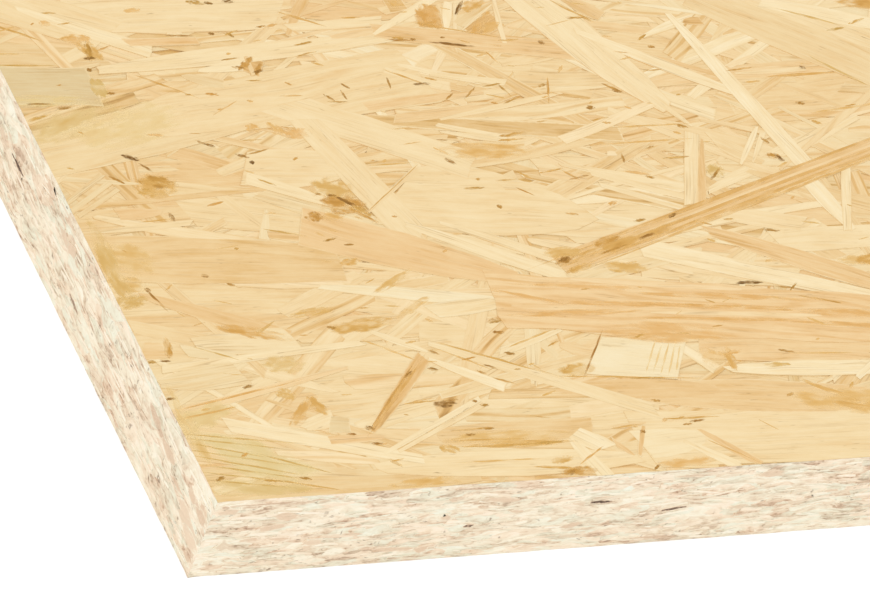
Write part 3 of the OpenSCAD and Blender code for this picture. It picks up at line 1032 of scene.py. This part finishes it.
square_ends = dict.fromkeys(["slant_start", "slant_end", "point_start", "point_end"], 0.0)
plank_lay = seen(
    plank_rows, face_point, seen_chance, feather_share=0.2, feather_most=0.4,
    grain=0.7, ragged=0.02, stain=0.0, rings=0.2,
)
patch_lay = seen(
    patch_rows, face_point, seen_chance, feather_share=0.2, feather_most=0.6,
    ragged=0.03, stain=0.0, rings=0.0, **square_ends,
)
strip_lay = seen(
    strip_rows, face_point, seen_chance, feather_share=0.4, feather_most=0.35,
    ragged=0.03, stain=0.0, rings=0.1,
)
ringed_lay = seen(
    ringed_rows, face_point, seen_chance, feather_share=0.2, feather_most=0.3,
    grain=0.8, rings=0.55, stain=0.0, slant_start=0.0, point_start=0.0,
)
block_lay = seen(
    block_rows, face_point, seen_chance, feather_share=0.2, feather_most=0.2,
    grain=0.5, ragged=0.01, stain=0.0, rings=0.0,
    slant_start=0.57, slant_end=0.46, point_start=0.0, point_end=0.0,
)
stripe_lay = seen(
    stripe_rows, face_point, seen_chance, feather_share=0.6, feather_most=0.4,
    rings=0.0, stain=0.0, point_start=0.7, point_end=0.7,
)
seen_groups = [
    (broad_lay, 7, 3),
    (short_lay, 5, 3),
    (plank_lay, 7, 3),
    (patch_lay, 5, 3),
    (strip_lay, 7, 3),
    (ringed_lay, 9, 5),
    (block_lay, 7, 3),
    (stripe_lay, 7, 3),
]
# Films for the stains and the painted shade of the next section. Their rims fade to nothing, so they are
# larger than what shows
film_wider = 1.1
film_longer = 1.25
plain_film = {"ragged": 0.0, "bow": 0.0, **square_ends}
film_groups = []
for rows, strength in ((ring_rows, 0.85), (stain_rows, 1.0), (mark_rows, 1.0)):
    lay = seen(
        rows, face_point, seen_chance, feather_share=0.9, feather_most=9.0, grain=strength, **plain_film)
    lay["width"] = lay["width"] * film_wider
    lay["feather"] = lay["feather"] * film_wider
    lay["length"] = lay["length"] * film_longer
    film_groups.append((lay, 2, 2))
stack([group[0] for group in seen_groups + film_groups], seen_depth, seen_top)

# Where the picture shows the strands, the strewn ones lie just below those, and keep to middling tones
under_gap = 0.02
under_spread = 0.3
under_palest = 0.3
under_darkest = 0.5
upper_strips = 14
upper_groups = strewn_groups(upper_chance, face_half, narrow_count=5500, sliver_count=9000)
for lay in [group[0] for group in upper_groups]:
    under = (lay["x"] - lay["length"] / 2 < seen_reach[0]) & (lay["y"] < seen_reach[1])
    lay["sunk"] = np.where(under, seen_depth + under_gap + lay["sunk"] * under_spread, lay["sunk"])
    lay["tone"] = np.where(under, np.clip(lay["tone"], under_palest, under_darkest), lay["tone"])
add_face_strands(
    "upper_strands", upper_groups + seen_groups, upper_strips, face_half, upper_chance, on_upper_face)

# Stains and marks
# Resin and bark on the strands: amber stains, dark growth rings and specks, and painted shade in chinks,
# thin cracks and along some strand borders. The stains have soaked into the wood, so all are made as films
# that let its grain show and die out at the rim.


def film_finish():
    """A stain over wood; the same film, laid in chinks, cracks and along strand borders, is painted shade.
    Its core is one less the squares of along over half the length and across over half the width, moved by
    noise as coarse as the stain is large. The stain covers by its strength as the core rises to its
    softness, and less in pale clouds. Its colour is a tone on a ramp from straw over amber to bark."""
    film = Finish("resin_stain_and_painted_shade")
    run, side, seed = film.parts("lie")
    along, across, tone = film.parts("span")
    half_length, half_width, strength = film.parts("half")
    blush = film.parts("tint")[1]
    feather = film.parts("bed")[2]

    ragged_pull = 2.6
    cloud_pull = 0.30
    blotch_pull = 0.16
    cloud_thinning = 0.5
    blotch = film.noise(run, side, seed, along=half_length / 2.4, across=half_width / 1.6, detail=3.0)
    cloud = film.noise(run, side, seed + 23.1, along=4.5, across=1.5, detail=3.0)
    core = 1.0 - film.math("POWER", along / half_length, 2.0) - film.math("POWER", across / half_width, 2.0)
    softness = feather / half_width
    cover = film.rise(core + (blotch - 0.5) * ragged_pull, 0.05, softness) * film.rise(core, 0.0, 0.4)
    cover = cover * strength * (1.0 - film.rise(cloud, 0.52, 0.36) * cloud_thinning)
    shade = tone + (cloud - 0.5) * cloud_pull + (blotch - 0.5) * blotch_pull
    colour = film.node("ShaderNodeValToRGB", {"stops": [
        (0.30, lit(246, 219, 168)),
        (0.42, lit(242, 209, 150)),
        (0.50, lit(236, 198, 136)),
        (0.58, lit(229, 185, 115)),
        (0.66, lit(218, 170, 94)),
        (0.74, lit(203, 152, 75)),
        (0.82, lit(178, 130, 62)),
        (0.90, lit(156, 112, 52)),
        (1.00, lit(122, 86, 40)),
    ]}, {0: shade})
    colour = film.blushed(colour, blush, rosy=(1.0, 0.93, 0.90), dull=(0.88, 0.95, 0.93))
    film.feed(film.surface.inputs["Base Color"], colour)
    film.feed(film.surface.inputs["Alpha"], cover)
    film.surface.inputs["Roughness"].default_value = 0.6
    film.surface.inputs["Specular IOR Level"].default_value = 0.05
    return film.material


def spots(chance, half_size, count, usual_length, usual_width, tones):
    """Stains or specks strewn over a face."""
    feather_share = 0.9
    x, y = strewn_places(chance, half_size, count)
    length = usual_length * spread_about(chance, count, usual=1, scatter=0.5, least=0.4, most=3.0)
    width = usual_width * spread_about(chance, count, usual=1, scatter=0.4, least=0.5, most=2.5)
    heading = chance.normal(0, 0.4, count)
    sunk = chance.uniform(0.012, 0.028, count)
    tone = chance.choice(tones, count)
    lay = scattered(count, chance, x, y, length, width, heading, sunk, tone)
    lay["feather"] = feather_share * width / 2
    set_all(lay, tip=0, roll=0, **plain_film)
    return lay


spot_chance = np.random.default_rng(41)
large_spots = spots(
    spot_chance, face_half, count=900, usual_length=9.0, usual_width=3.0, tones=[0.52, 0.58, 0.64])
small_spots = spots(
    spot_chance, face_half, count=3500, usual_length=3.5, usual_width=0.7, tones=[0.70, 0.80, 0.90])
faint_marks = spots(
    spot_chance, seen_half, count=260, usual_length=3.0, usual_width=0.5, tones=[0.58, 0.64, 0.70])
# Where the picture shows the stains, only faint marks are strewn
for lay in (large_spots, small_spots):
    unseen = (lay["x"] > seen_reach[0]) | (lay["y"] > seen_reach[1])
    film_groups.append((picked(lay, unseen), 2, 2))
film_groups.append((moved(faint_marks, seen_reach - seen_half), 2, 2))
film_points, film_faces, film_attributes, film_map = joined(*(
    flakes(lay, stations, columns, face_half, spot_chance) for lay, stations, columns in film_groups
))
stains = add_piece(
    "upper_stain_and_shade_films", on_upper_face(film_points), film_faces, film_attributes, film_map, film_finish())
# A stain lies in the wood and painted shade is only colour, so the films throw no shade on it
stains.visible_shadow = False
stains.visible_diffuse = False
stains.visible_glossy = False

# Underside strands
# The face that lies on the floor is made of the same softwood strands, strewn from one side to the other.
# Resin and the press bind them to the mat, and the saw cuts them off at the panel's sides.


def on_underside(points):
    """Places in metres of points whose height counts from the lower face, turned over to face down."""
    return points * [mm, -mm, -mm]


under_strips = 7
under_chance = np.random.default_rng(12)
under_groups = strewn_groups(under_chance, face_half, narrow_count=2000, sliver_count=1500)
add_face_strands("underside_strands", under_groups, under_strips, face_half, under_chance, on_underside)

# Sawn edges
# The saw cuts square through the pressed mat, so each edge shows hundreds of cut strand ends and sides.
# They are pale lens shapes in thin wavy layers, cream to pinkish, with a few darker ends and open chinks.
# Dark specks and cracks on them are painted shade.
level_to_upright = 1.06
palest_cut = 0.95


def edge_lit(red, green, blue):
    """The reflectance that shows as this colour on an upright face, which gets a little less light."""
    level = np.array(lit(red, green, blue)[:3])
    return (*(level * level_to_upright).clip(0, palest_cut), 1.0)


def sawn_finish():
    """Cut strands on a sawn edge: cells stretched along the edge and bent by noise, each of its own tone and
    hue, cream, rosy or greenish and no darker than brown, with short wavy dashes, fine fuzz and a few
    dark specks of painted shade, for tiny voids in the cut. A fleck brings a tone of its own, and towards
    its rim and in its worn places goes over to the cells."""
    cut = Finish("sawn_strands")
    run, rise, seed = cut.parts("lie")
    along, across, tone = cut.parts("span")
    half_length, half_width = cut.parts("half")[:2]
    blush = cut.parts("tint")[1]
    feather = cut.parts("bed")[2]

    # Patterns on the cut, with their sizes in mm
    wave_reach = 4.5
    ripple_reach = 1.0
    cell_length = 4.4
    cell_height = 0.9
    cell_ripple = 1.6
    wave = cut.noise(run, rise, seed, along=11.0, across=3.4)
    ripple = cut.noise(run, rise, seed + 9.0, along=3.2, across=1.0)
    fuzz = cut.noise(run, rise, seed + 21.0, along=0.8, across=0.26, detail=3.0)
    bent_rise = rise + (wave - 0.5) * wave_reach + (ripple - 0.5) * ripple_reach
    dash = cut.noise(run, bent_rise, seed + 41.0, along=2.1, across=0.40)
    cell = cut.node("ShaderNodeCombineXYZ", {}, {
        0: run / cell_length + (ripple - 0.5) * cell_ripple,
        1: bent_rise / cell_height,
        2: seed,
    })
    cell_colour = cut.node("ShaderNodeTexVoronoi", {}, {"Vector": cell, "Scale": 1.0}, output=1)
    cell_tone = cut.node("ShaderNodeSeparateColor", {}, {0: cell_colour})
    cell_hue = cut.node("ShaderNodeSeparateColor", {}, {0: cell_colour}, output=1)

    # How far each pattern moves the tone; only a fleck has a tone above the bare one
    bare_tone = -0.5
    fuzzy_rim = 1.2
    worn_share = 0.4
    cell_middle = 0.51
    cell_pull = 0.36
    wave_pull = 0.50
    dash_pull = 1.05
    fuzz_pull = 0.34
    cell_darkest = 0.82
    rim = cut.rim(along, across, half_length, half_width)
    own = cut.rise(rim + (fuzz - 0.5) * feather * fuzzy_rim, 0.0, feather)
    own = own * cut.math("GREATER_THAN", tone, bare_tone) * (1.0 - cut.rise(fuzz, 0.46, 0.66) * worn_share)
    cell_shade = cell_middle + (cell_tone - 0.5) * cell_pull
    cell_shade = cell_shade + (wave + ripple - 1.0) * wave_pull + (dash - 0.5) * dash_pull
    cell_shade = cut.math("MINIMUM", cell_shade, cell_darkest)
    shade = cell_shade + (tone - cell_shade) * own + (fuzz - 0.5) * fuzz_pull
    colour = cut.node("ShaderNodeValToRGB", {"stops": [
        (0.00, edge_lit(255, 248, 230)),
        (0.30, edge_lit(252, 241, 217)),
        (0.55, edge_lit(244, 229, 202)),
        (0.75, edge_lit(228, 205, 176)),
        (0.88, edge_lit(188, 160, 134)),
        (1.00, edge_lit(96, 76, 62)),
    ]}, {0: shade})

    rosy_tint = (1.0, 0.935, 0.915, 1.0)
    greenish_tint = (0.93, 0.985, 1.0, 1.0)
    hue = cell_hue * 0.6 + cut.noise(run, rise, seed + 57.0, along=6.0, across=2.0) * 0.4
    rosy = cut.rise(hue, 0.50, 0.80)
    greenish = cut.rise(hue, 0.46, 0.24)
    colour = cut.mix(rosy + (blush - rosy) * own, colour, rosy_tint, "MULTIPLY")
    colour = cut.mix(greenish * (1.0 - own), colour, greenish_tint, "MULTIPLY")

    # Dark specks: painted shade of tiny voids in the cut
    speck_shade_strength = 0.8
    speck = cut.noise(run, bent_rise, seed + 47.0, along=1.1, across=0.40, detail=1.0)
    speck_shade_share = cut.rise(speck, 0.64, 0.78) * cut.rise(wave, 0.36, 0.56) * (1.0 - own) * speck_shade_strength
    colour = cut.mix(speck_shade_share, colour, edge_lit(150, 126, 104))
    cut.feed(cut.surface.inputs["Base Color"], colour)
    cut.feed(cut.surface.inputs["Roughness"], 0.65 + fuzz * 0.2)
    cut.surface.inputs["Specular IOR Level"].default_value = 0.2
    cut.roughen(fuzz * 0.5 + dash * 0.5, depth=0.0001)
    return cut.material


def lattice_noise(chance, run, rise, run_step, rise_step):
    """Smooth noise from 0 to 1: random numbers on a lattice of these steps, blended by smooth steps."""
    a = run / run_step
    b = rise / rise_step
    grid = chance.random((int(a.max()) + 2, int(b.max()) + 2))
    i = np.floor(a).astype(int)
    j = np.floor(b).astype(int)
    p = (a - i) ** 2 * (3 - 2 * (a - i))
    q = (b - j) ** 2 * (3 - 2 * (b - j))
    low = grid[i, j] * (1 - p) + grid[i + 1, j] * p
    high = grid[i, j + 1] * (1 - p) + grid[i + 1, j + 1] * p
    return low * (1 - q) + high * q


def edge_stations(length, near):
    """Places along an edge, close together at the start of an edge that is seen from close by: the running
    count of places is the sum of one over the wanted spacing, and it is read backwards at whole numbers."""
    fine = 0.6
    coarse = 6.0
    fine_run = 170.0
    blend_run = 250.0
    samples = 6000
    run = np.linspace(0, length, samples)
    growth = np.clip((run - fine_run) / blend_run, 0, 1) if near else np.ones_like(run)
    spacing = fine + (coarse - fine) * growth ** 2 * (3 - 2 * growth)
    counted = np.concatenate([[0.0], np.cumsum(np.diff(run) / spacing[1:])])
    return np.interp(np.linspace(0, counted[-1], int(counted[-1]) + 1), counted, run)


def edge_relief(run, rise, length):
    """How deep the sawn surface lies: an even inset, two sizes of smooth noise, and chinks where a third
    noise is near its top, away from the arrises. It all dies out at the edge's two corners."""
    wave_depth = 0.08
    fuzz_depth = 0.05
    chink_start = 0.88
    chink_depth = 1.5
    arris_clear = 1.0
    corner_fade = 1.5
    relief = edge_inset + wave_depth * lattice_noise(edge_chance, run, rise, run_step=5.0, rise_step=0.8)
    relief = relief + fuzz_depth * lattice_noise(edge_chance, run, rise, run_step=1.7, rise_step=0.5)
    chink = lattice_noise(edge_chance, run, rise, run_step=3.5, rise_step=0.9)
    chink = np.clip(chink - chink_start, 0, 1)
    from_arris = np.minimum(rise - edge_low, edge_top - rise)
    relief = relief + chink_depth * chink * np.clip(from_arris - arris_clear, 0, 1)
    return relief * np.clip(np.minimum(run, length - run) / corner_fade, 0, 1)


def edge_map(local, faces, length):
    """Places on the bake map, which cuts the edge into equal lengths and lays them in rows, each row with
    the outer face below and the hidden back above."""
    row_shape = 1.4
    row_stretch = 1.06
    row_spare = 6.0
    map_border = 0.02
    face_share = 0.66
    back_share = 0.28
    map_rows = int(np.ceil(np.sqrt(length / panel_thickness / row_shape)))
    row_run = length / map_rows
    face_run = local[faces, 0]
    face_row = np.minimum(face_run.min(axis=1) // row_run, map_rows - 1)
    map_x = (face_run - face_row[:, None] * row_run) / (row_run * row_stretch + row_spare)
    up = local[:, 1] / panel_thickness
    outer = np.arange(len(local)) < len(local) // 2
    map_y = np.where(outer, map_border + face_share * up, 1 - map_border - back_share * up)
    map_y = (face_row[:, None] + map_y[faces]) / map_rows
    return np.clip(np.stack([map_x, map_y], axis=-1), 0, 1)


def edge_flecks(length, near, near_end, chance):
    """Cut strands that stand out on an edge: thin lens shapes along it, more of them near the picture's
    corner."""
    count = 500 if near else 300
    close_share = 0.65 if near else 0.0
    close_run = 190.0
    end_gap = 2
    height_share = 0.46
    tones = [0.05, 0.2, 0.6, 0.7, 0.78, 0.84]
    tone_shares = [0.30, 0.22, 0.22, 0.17, 0.06, 0.03]
    close = chance.random(count) < close_share
    run = np.where(close, chance.uniform(0, close_run, count), chance.uniform(0, length, count))
    run = length - run if near_end else run
    x = np.clip(run - length / 2, end_gap - length / 2, length / 2 - end_gap)
    y = chance.uniform(-height_share, height_share, count) * panel_thickness
    fleck_length = spread_about(chance, count, usual=3.4, scatter=0.45, least=1.2, most=10)
    width = spread_about(chance, count, usual=0.7, scatter=0.35, least=0.35, most=1.4)
    tone = chance.choice(tones, count, p=tone_shares)
    heading = chance.normal(0, 0.10, count)
    sunk = chance.uniform(0.035, 0.055, count)
    lay = scattered(count, chance, x, y, fleck_length, width, heading, sunk, tone)
    lay["blush"] = chance.choice([0.0, 0.5, 1.0], count)
    lay["feather"] = width / 2
    set_all(lay, tip=0, roll=0)
    return lay


def kept_whole(lay, half_size):
    """Moves flecks in from the borders of an edge, so that none is cut: half a fleck reaches, either way, as
    far as half its length and, with some to spare, half its width reach that way together."""
    run_reach = 0.5 * lay["length"]
    side_reach = 0.8 * lay["width"]
    cosine = np.abs(np.cos(lay["heading"]))
    sine = np.abs(np.sin(lay["heading"]))
    room_x = np.maximum(half_size[0] - run_reach * cosine - side_reach * sine, 0.0)
    room_y = np.maximum(half_size[1] - run_reach * sine - side_reach * cosine, 0.0)
    return {**lay, "x": np.clip(lay["x"], -room_x, room_x), "y": np.clip(lay["y"], -room_y, room_y)}


def add_sawn_edge(name, start, forward, outward, length, stretch, near_start=False, near_end=False, rows=()):
    """A sawn edge: a grid of places along it by heights, pushed in by the relief, in front of a plain grid
    that is mitred at both ends. Stretch is how many times longer and higher than usual its pattern is.
    Flecks lie on it, and rows are those in the picture."""
    near = near_start or near_end
    run = edge_stations(length, near)
    run = length - run[::-1] if near_end else run
    run, rise = np.meshgrid(run, np.linspace(edge_low, edge_top, edge_rows), indexing="ij")
    relief = edge_relief(run, rise, length)
    back_run = edge_back + run * (1 - 2 * edge_back / length)
    back_rise = edge_low + edge_slope + (rise - edge_low) * (1 - 2 * edge_slope / (edge_top - edge_low))
    local = np.stack([
        np.stack([run, rise, -relief], axis=-1),
        np.stack([back_run, back_rise, np.full_like(run, -edge_back)], axis=-1),
    ]).reshape(-1, 3)
    faces = slab_faces(*run.shape)
    count = len(local)
    edge_seed = edge_chance.uniform(0, seed_most)
    attributes = {
        "lie": np.column_stack([local[:, :2] / stretch, np.full(count, edge_seed)]),
        "span": np.tile([0.0, 0.0, edge_tone], (count, 1)),
        "half": np.zeros((count, 3)),
        "tint": np.zeros((count, 3)),
        "bed": np.tile([0.0, 0.0, edge_feather], (count, 1)),
    }
    place = np.stack([forward, [0.0, 0.0, 1.0], outward])
    base = np.array([*start, panel_low[2]])
    bake_map = edge_map(local, faces, length)
    add_piece(name, base + local @ place * mm, faces, attributes, bake_map, sawn_wood)

    middle = np.array([length, panel_thickness]) / 2
    half_size = middle - fleck_inset

    def edge_point(pixels):
        """Places on the edge that pixels of the picture show, in mm from its middle."""
        return ((sight_meets(pixels, base, place[2]) - base) @ place.T)[:, :2] / mm - middle

    lay = kept_whole(edge_flecks(length, near, near_end, edge_chance), half_size)
    stack([lay], fleck_depth, fleck_top)
    groups = [flakes(lay, stations=4, columns=2, half_size=half_size, chance=edge_chance)]
    if rows:
        lay = seen(
            rows, edge_point, edge_chance, feather_share=0.9, feather_most=0.6,
            ragged=0.2, point_start=0.7, point_end=0.7,
        )
        lay = kept_whole(lay, half_size)
        stack([lay], seen_fleck_depth, seen_fleck_top)
        groups.append(flakes(lay, stations=5, columns=3, half_size=half_size, chance=edge_chance))
    points, faces, attributes, bake_map = joined(*groups)
    points = points + [*middle, 0.0]
    attributes["lie"] = np.column_stack([points[:, :2] / stretch, np.full(len(points), edge_seed)])
    add_piece(name + "_flecks", base + points @ place * mm, faces, attributes, bake_map, sawn_wood)


edge_rows = 24
edge_low = 0.05
edge_top_gap = 0.10
edge_top = panel_thickness - edge_top_gap
edge_back = 2.5
edge_slope = 1.6
edge_inset = 0.06
edge_tone = -1.0
edge_feather = 0.1
fleck_inset = np.array([0.3, 0.15])
fleck_depth = 0.055
fleck_top = 0.036
seen_fleck_depth = 0.034
seen_fleck_top = 0.012
edge_chance = np.random.default_rng(31)
sawn_wood = sawn_finish()
long_side, short_side = 2 * panel_half
# The saw cuts most strands along on the long sides and across on the short ones, where they show thicker
long_stretch = [1, 1]
short_stretch = [1, 1.5]
# Dark, pinkish and pale flecks and lines that the picture shows on its two edges; the darkest, in cracks and
# chinks, are painted shade
front_rows = [
    (222, 507.5, 345, 497.5, 3.4, 0.84, 1.0), (262, 510, 274, 508, 4, 0.90, 0),
    (220, 508.5, 231, 507.5, 5, 0.88, 0.8), (457, 489, 500, 486.5, 4, 0.90, 1.0),
    (342, 527.5, 363, 525, 5, 0.84, 1.0), (364, 529, 374, 527, 4, 0.76, 0.8),
    (461, 526.5, 475, 526, 6, 1.02, 0.6), (238, 542, 260, 538, 6, 0.76, 1.0),
    (268, 540, 290, 538, 6, 0.76, 1.0), (300, 545, 324, 541, 9, 0.66, 1.0),
    (214, 549, 236, 546, 12, 0.74, 0), (276, 518, 300, 516, 11, 0.72, 1.0),
    (256, 531, 288, 525, 8, 0.73, 1.0), (589, 503.5, 614, 501, 5.5, 1.06, 0.2),
    (660, 511, 689, 506, 5, 1.04, 0.2), (803, 498, 814, 496.5, 5, 0.84, 0.8),
    (391, 528, 402, 526.5, 4, 0.84, 0), (385, 560.5, 400, 559, 4, 0.86, 0.4),
    (403, 559, 420, 557, 4, 0.86, 0), (438, 538, 446, 537, 5, 0.80, 0),
    (458, 534.5, 469, 533, 4, 0.80, 0), (241, 554, 256, 552.5, 4, 0.79, 0),
    (320, 553, 346, 550, 10, 0.20, 0), (292, 560, 314, 556, 8, 0.26, 0),
    (253, 571, 262, 569.5, 4, 0.78, 0), (628, 541, 678, 538.5, 5, 0.80, 1.0),
    (772, 506, 788, 504, 4, 0.82, 1.0), (372, 551, 412, 548, 8, 0.73, 1.0),
    (410, 556, 434, 548, 9, 0.75, 1.0), (426, 549, 436, 547, 4, 0.83, 0),
    (440, 517, 452, 518, 9, 0.73, 0.8), (416, 519, 430, 514, 5, 0.77, 0.6),
    (448, 515, 460, 513, 5, 0.78, 0), (400, 511, 408, 509, 5, 0.76, 0), (372, 547, 390, 546, 4, 0.76, 0),
    (402, 536, 412, 540, 4, 0.77, 0), (300, 549, 312, 546, 6, 0.66, 1.0),
    (222, 534, 232, 535, 3, 0.80, 0), (302, 537, 316, 534, 4, 0.80, 0.2),
    (230, 532, 242, 531, 4, 0.77, 1.0), (200, 565, 214, 562, 8, 0.74, 0.2),
    (240, 560, 254, 556, 6, 0.75, 0), (318, 502, 332, 500, 5, 0.80, 0.2),
    (290, 504, 316, 501.5, 5, 0.80, 0.6), (336, 500, 346, 498.5, 5, 0.76, 0.2),
    (412, 494, 430, 492, 4, 0.79, 0), (398, 497, 412, 495, 4, 0.75, 0.4),
    (540, 494, 550, 493, 4, 0.83, 0.2), (560, 528, 584, 522, 7, 0.73, 1.0),
    (590, 506, 600, 508, 4, 0.82, 0), (486, 500, 520, 500, 8, 0.72, 0.9),
    (508, 512, 526, 511, 6, 0.74, 0.8), (478, 526, 492, 523, 4, 0.80, 0),
    (756, 533, 764, 531.5, 4, 0.84, 0), (806, 528, 816, 527, 4, 0.86, 0),
    (852, 520, 862, 518, 5, 0.84, 0), (774, 526, 784, 524, 4, 0.84, 0), (806, 476, 816, 473, 4, 0.78, 0),
    (852, 478, 864, 476, 4, 0.80, 0), (742, 494, 760, 486, 4, 0.76, 0),
    (760, 473, 784, 470, 10, 0.70, 1.0), (824, 492, 840, 489, 6, 0.72, 0.9),
    (728, 508, 750, 505, 6, 0.74, 0.6), (836, 504, 866, 500, 4, 0.78, 0),
    (848, 512, 862, 508, 5, 0.77, 0), (676, 477, 706, 474.5, 4, 0.78, 0.6),
    (686, 530, 700, 528, 4, 0.79, 0), (216, 514, 240, 511, 8, 0.70, 1.0),
    (660, 532, 676, 528, 5, 0.78, 0), (714, 532, 722, 530, 4, 0.80, 0),
]
left_rows = [
    (11, 152, 24, 178, 5, 1.04, 0), (12, 180, 19, 201, 4, 0.84, 0), (19, 172, 21, 180, 4, 0.82, 0),
    (69, 293, 78, 315, 5, 0.95, 0), (80, 241, 102, 280, 4.4, 0.86, 1.0), (60, 228, 69, 247, 8, 0.73, 0.8),
    (67, 242, 75, 258, 10, 0.72, 1.0), (75, 257, 78, 270, 4, 0.78, 0.4),
    (170, 474, 184, 498, 6, 0.76, 1.0), (200, 502, 205, 522, 8, 0.75, 1.0),
    (183, 550, 189, 563, 6, 0.76, 1.0), (107, 357, 115, 369, 4, 0.88, 0),
    (127, 392, 139, 411, 4, 0.88, 0), (104, 284, 111, 298, 5, 0.78, 0.8),
    (48, 196, 56, 212, 5, 0.75, 0.9), (50, 206, 55, 214, 5, 0.78, 0), (20, 208, 24, 216, 4, 0.76, 0),
    (46, 236, 50, 242, 4, 0.77, 0), (48, 244, 58, 252, 6, 0.75, 0), (46, 180, 56, 196, 9, 0.70, 1.0),
    (8, 130, 14, 148, 4, 0.75, 0.4), (90, 256, 98, 268, 8, 0.68, 1.0), (0, 126, 8, 150, 6, 0.72, 0.6),
    (30, 216, 34, 226, 4, 0.74, 0), (203, 518, 212, 540, 9, 0.76, 1.0),
    (188, 486, 198, 508, 9, 0.74, 1.0), (150, 404, 164, 438, 9, 0.80, 0.9),
    (162, 438, 175, 464, 9, 0.76, 0.9), (178, 504, 196, 546, 16, 0.66, 1.0),
    (186, 530, 200, 560, 12, 0.64, 1.0),
]
add_sawn_edge(
    "front_sawn_edge", panel_low[:2], [1, 0, 0], [0, -1, 0], long_side, long_stretch,
    near_start=True, rows=front_rows,
)
add_sawn_edge(
    "right_sawn_edge", [panel_high[0], panel_low[1]], [0, 1, 0], [1, 0, 0], short_side, short_stretch)
add_sawn_edge(
    "back_sawn_edge", panel_high[:2], [-1, 0, 0], [0, 1, 0], long_side, long_stretch)
add_sawn_edge(
    "left_sawn_edge", [panel_low[0], panel_high[1]], [0, -1, 0], [-1, 0, 0], short_side, short_stretch,
    near_end=True, rows=left_rows,
)
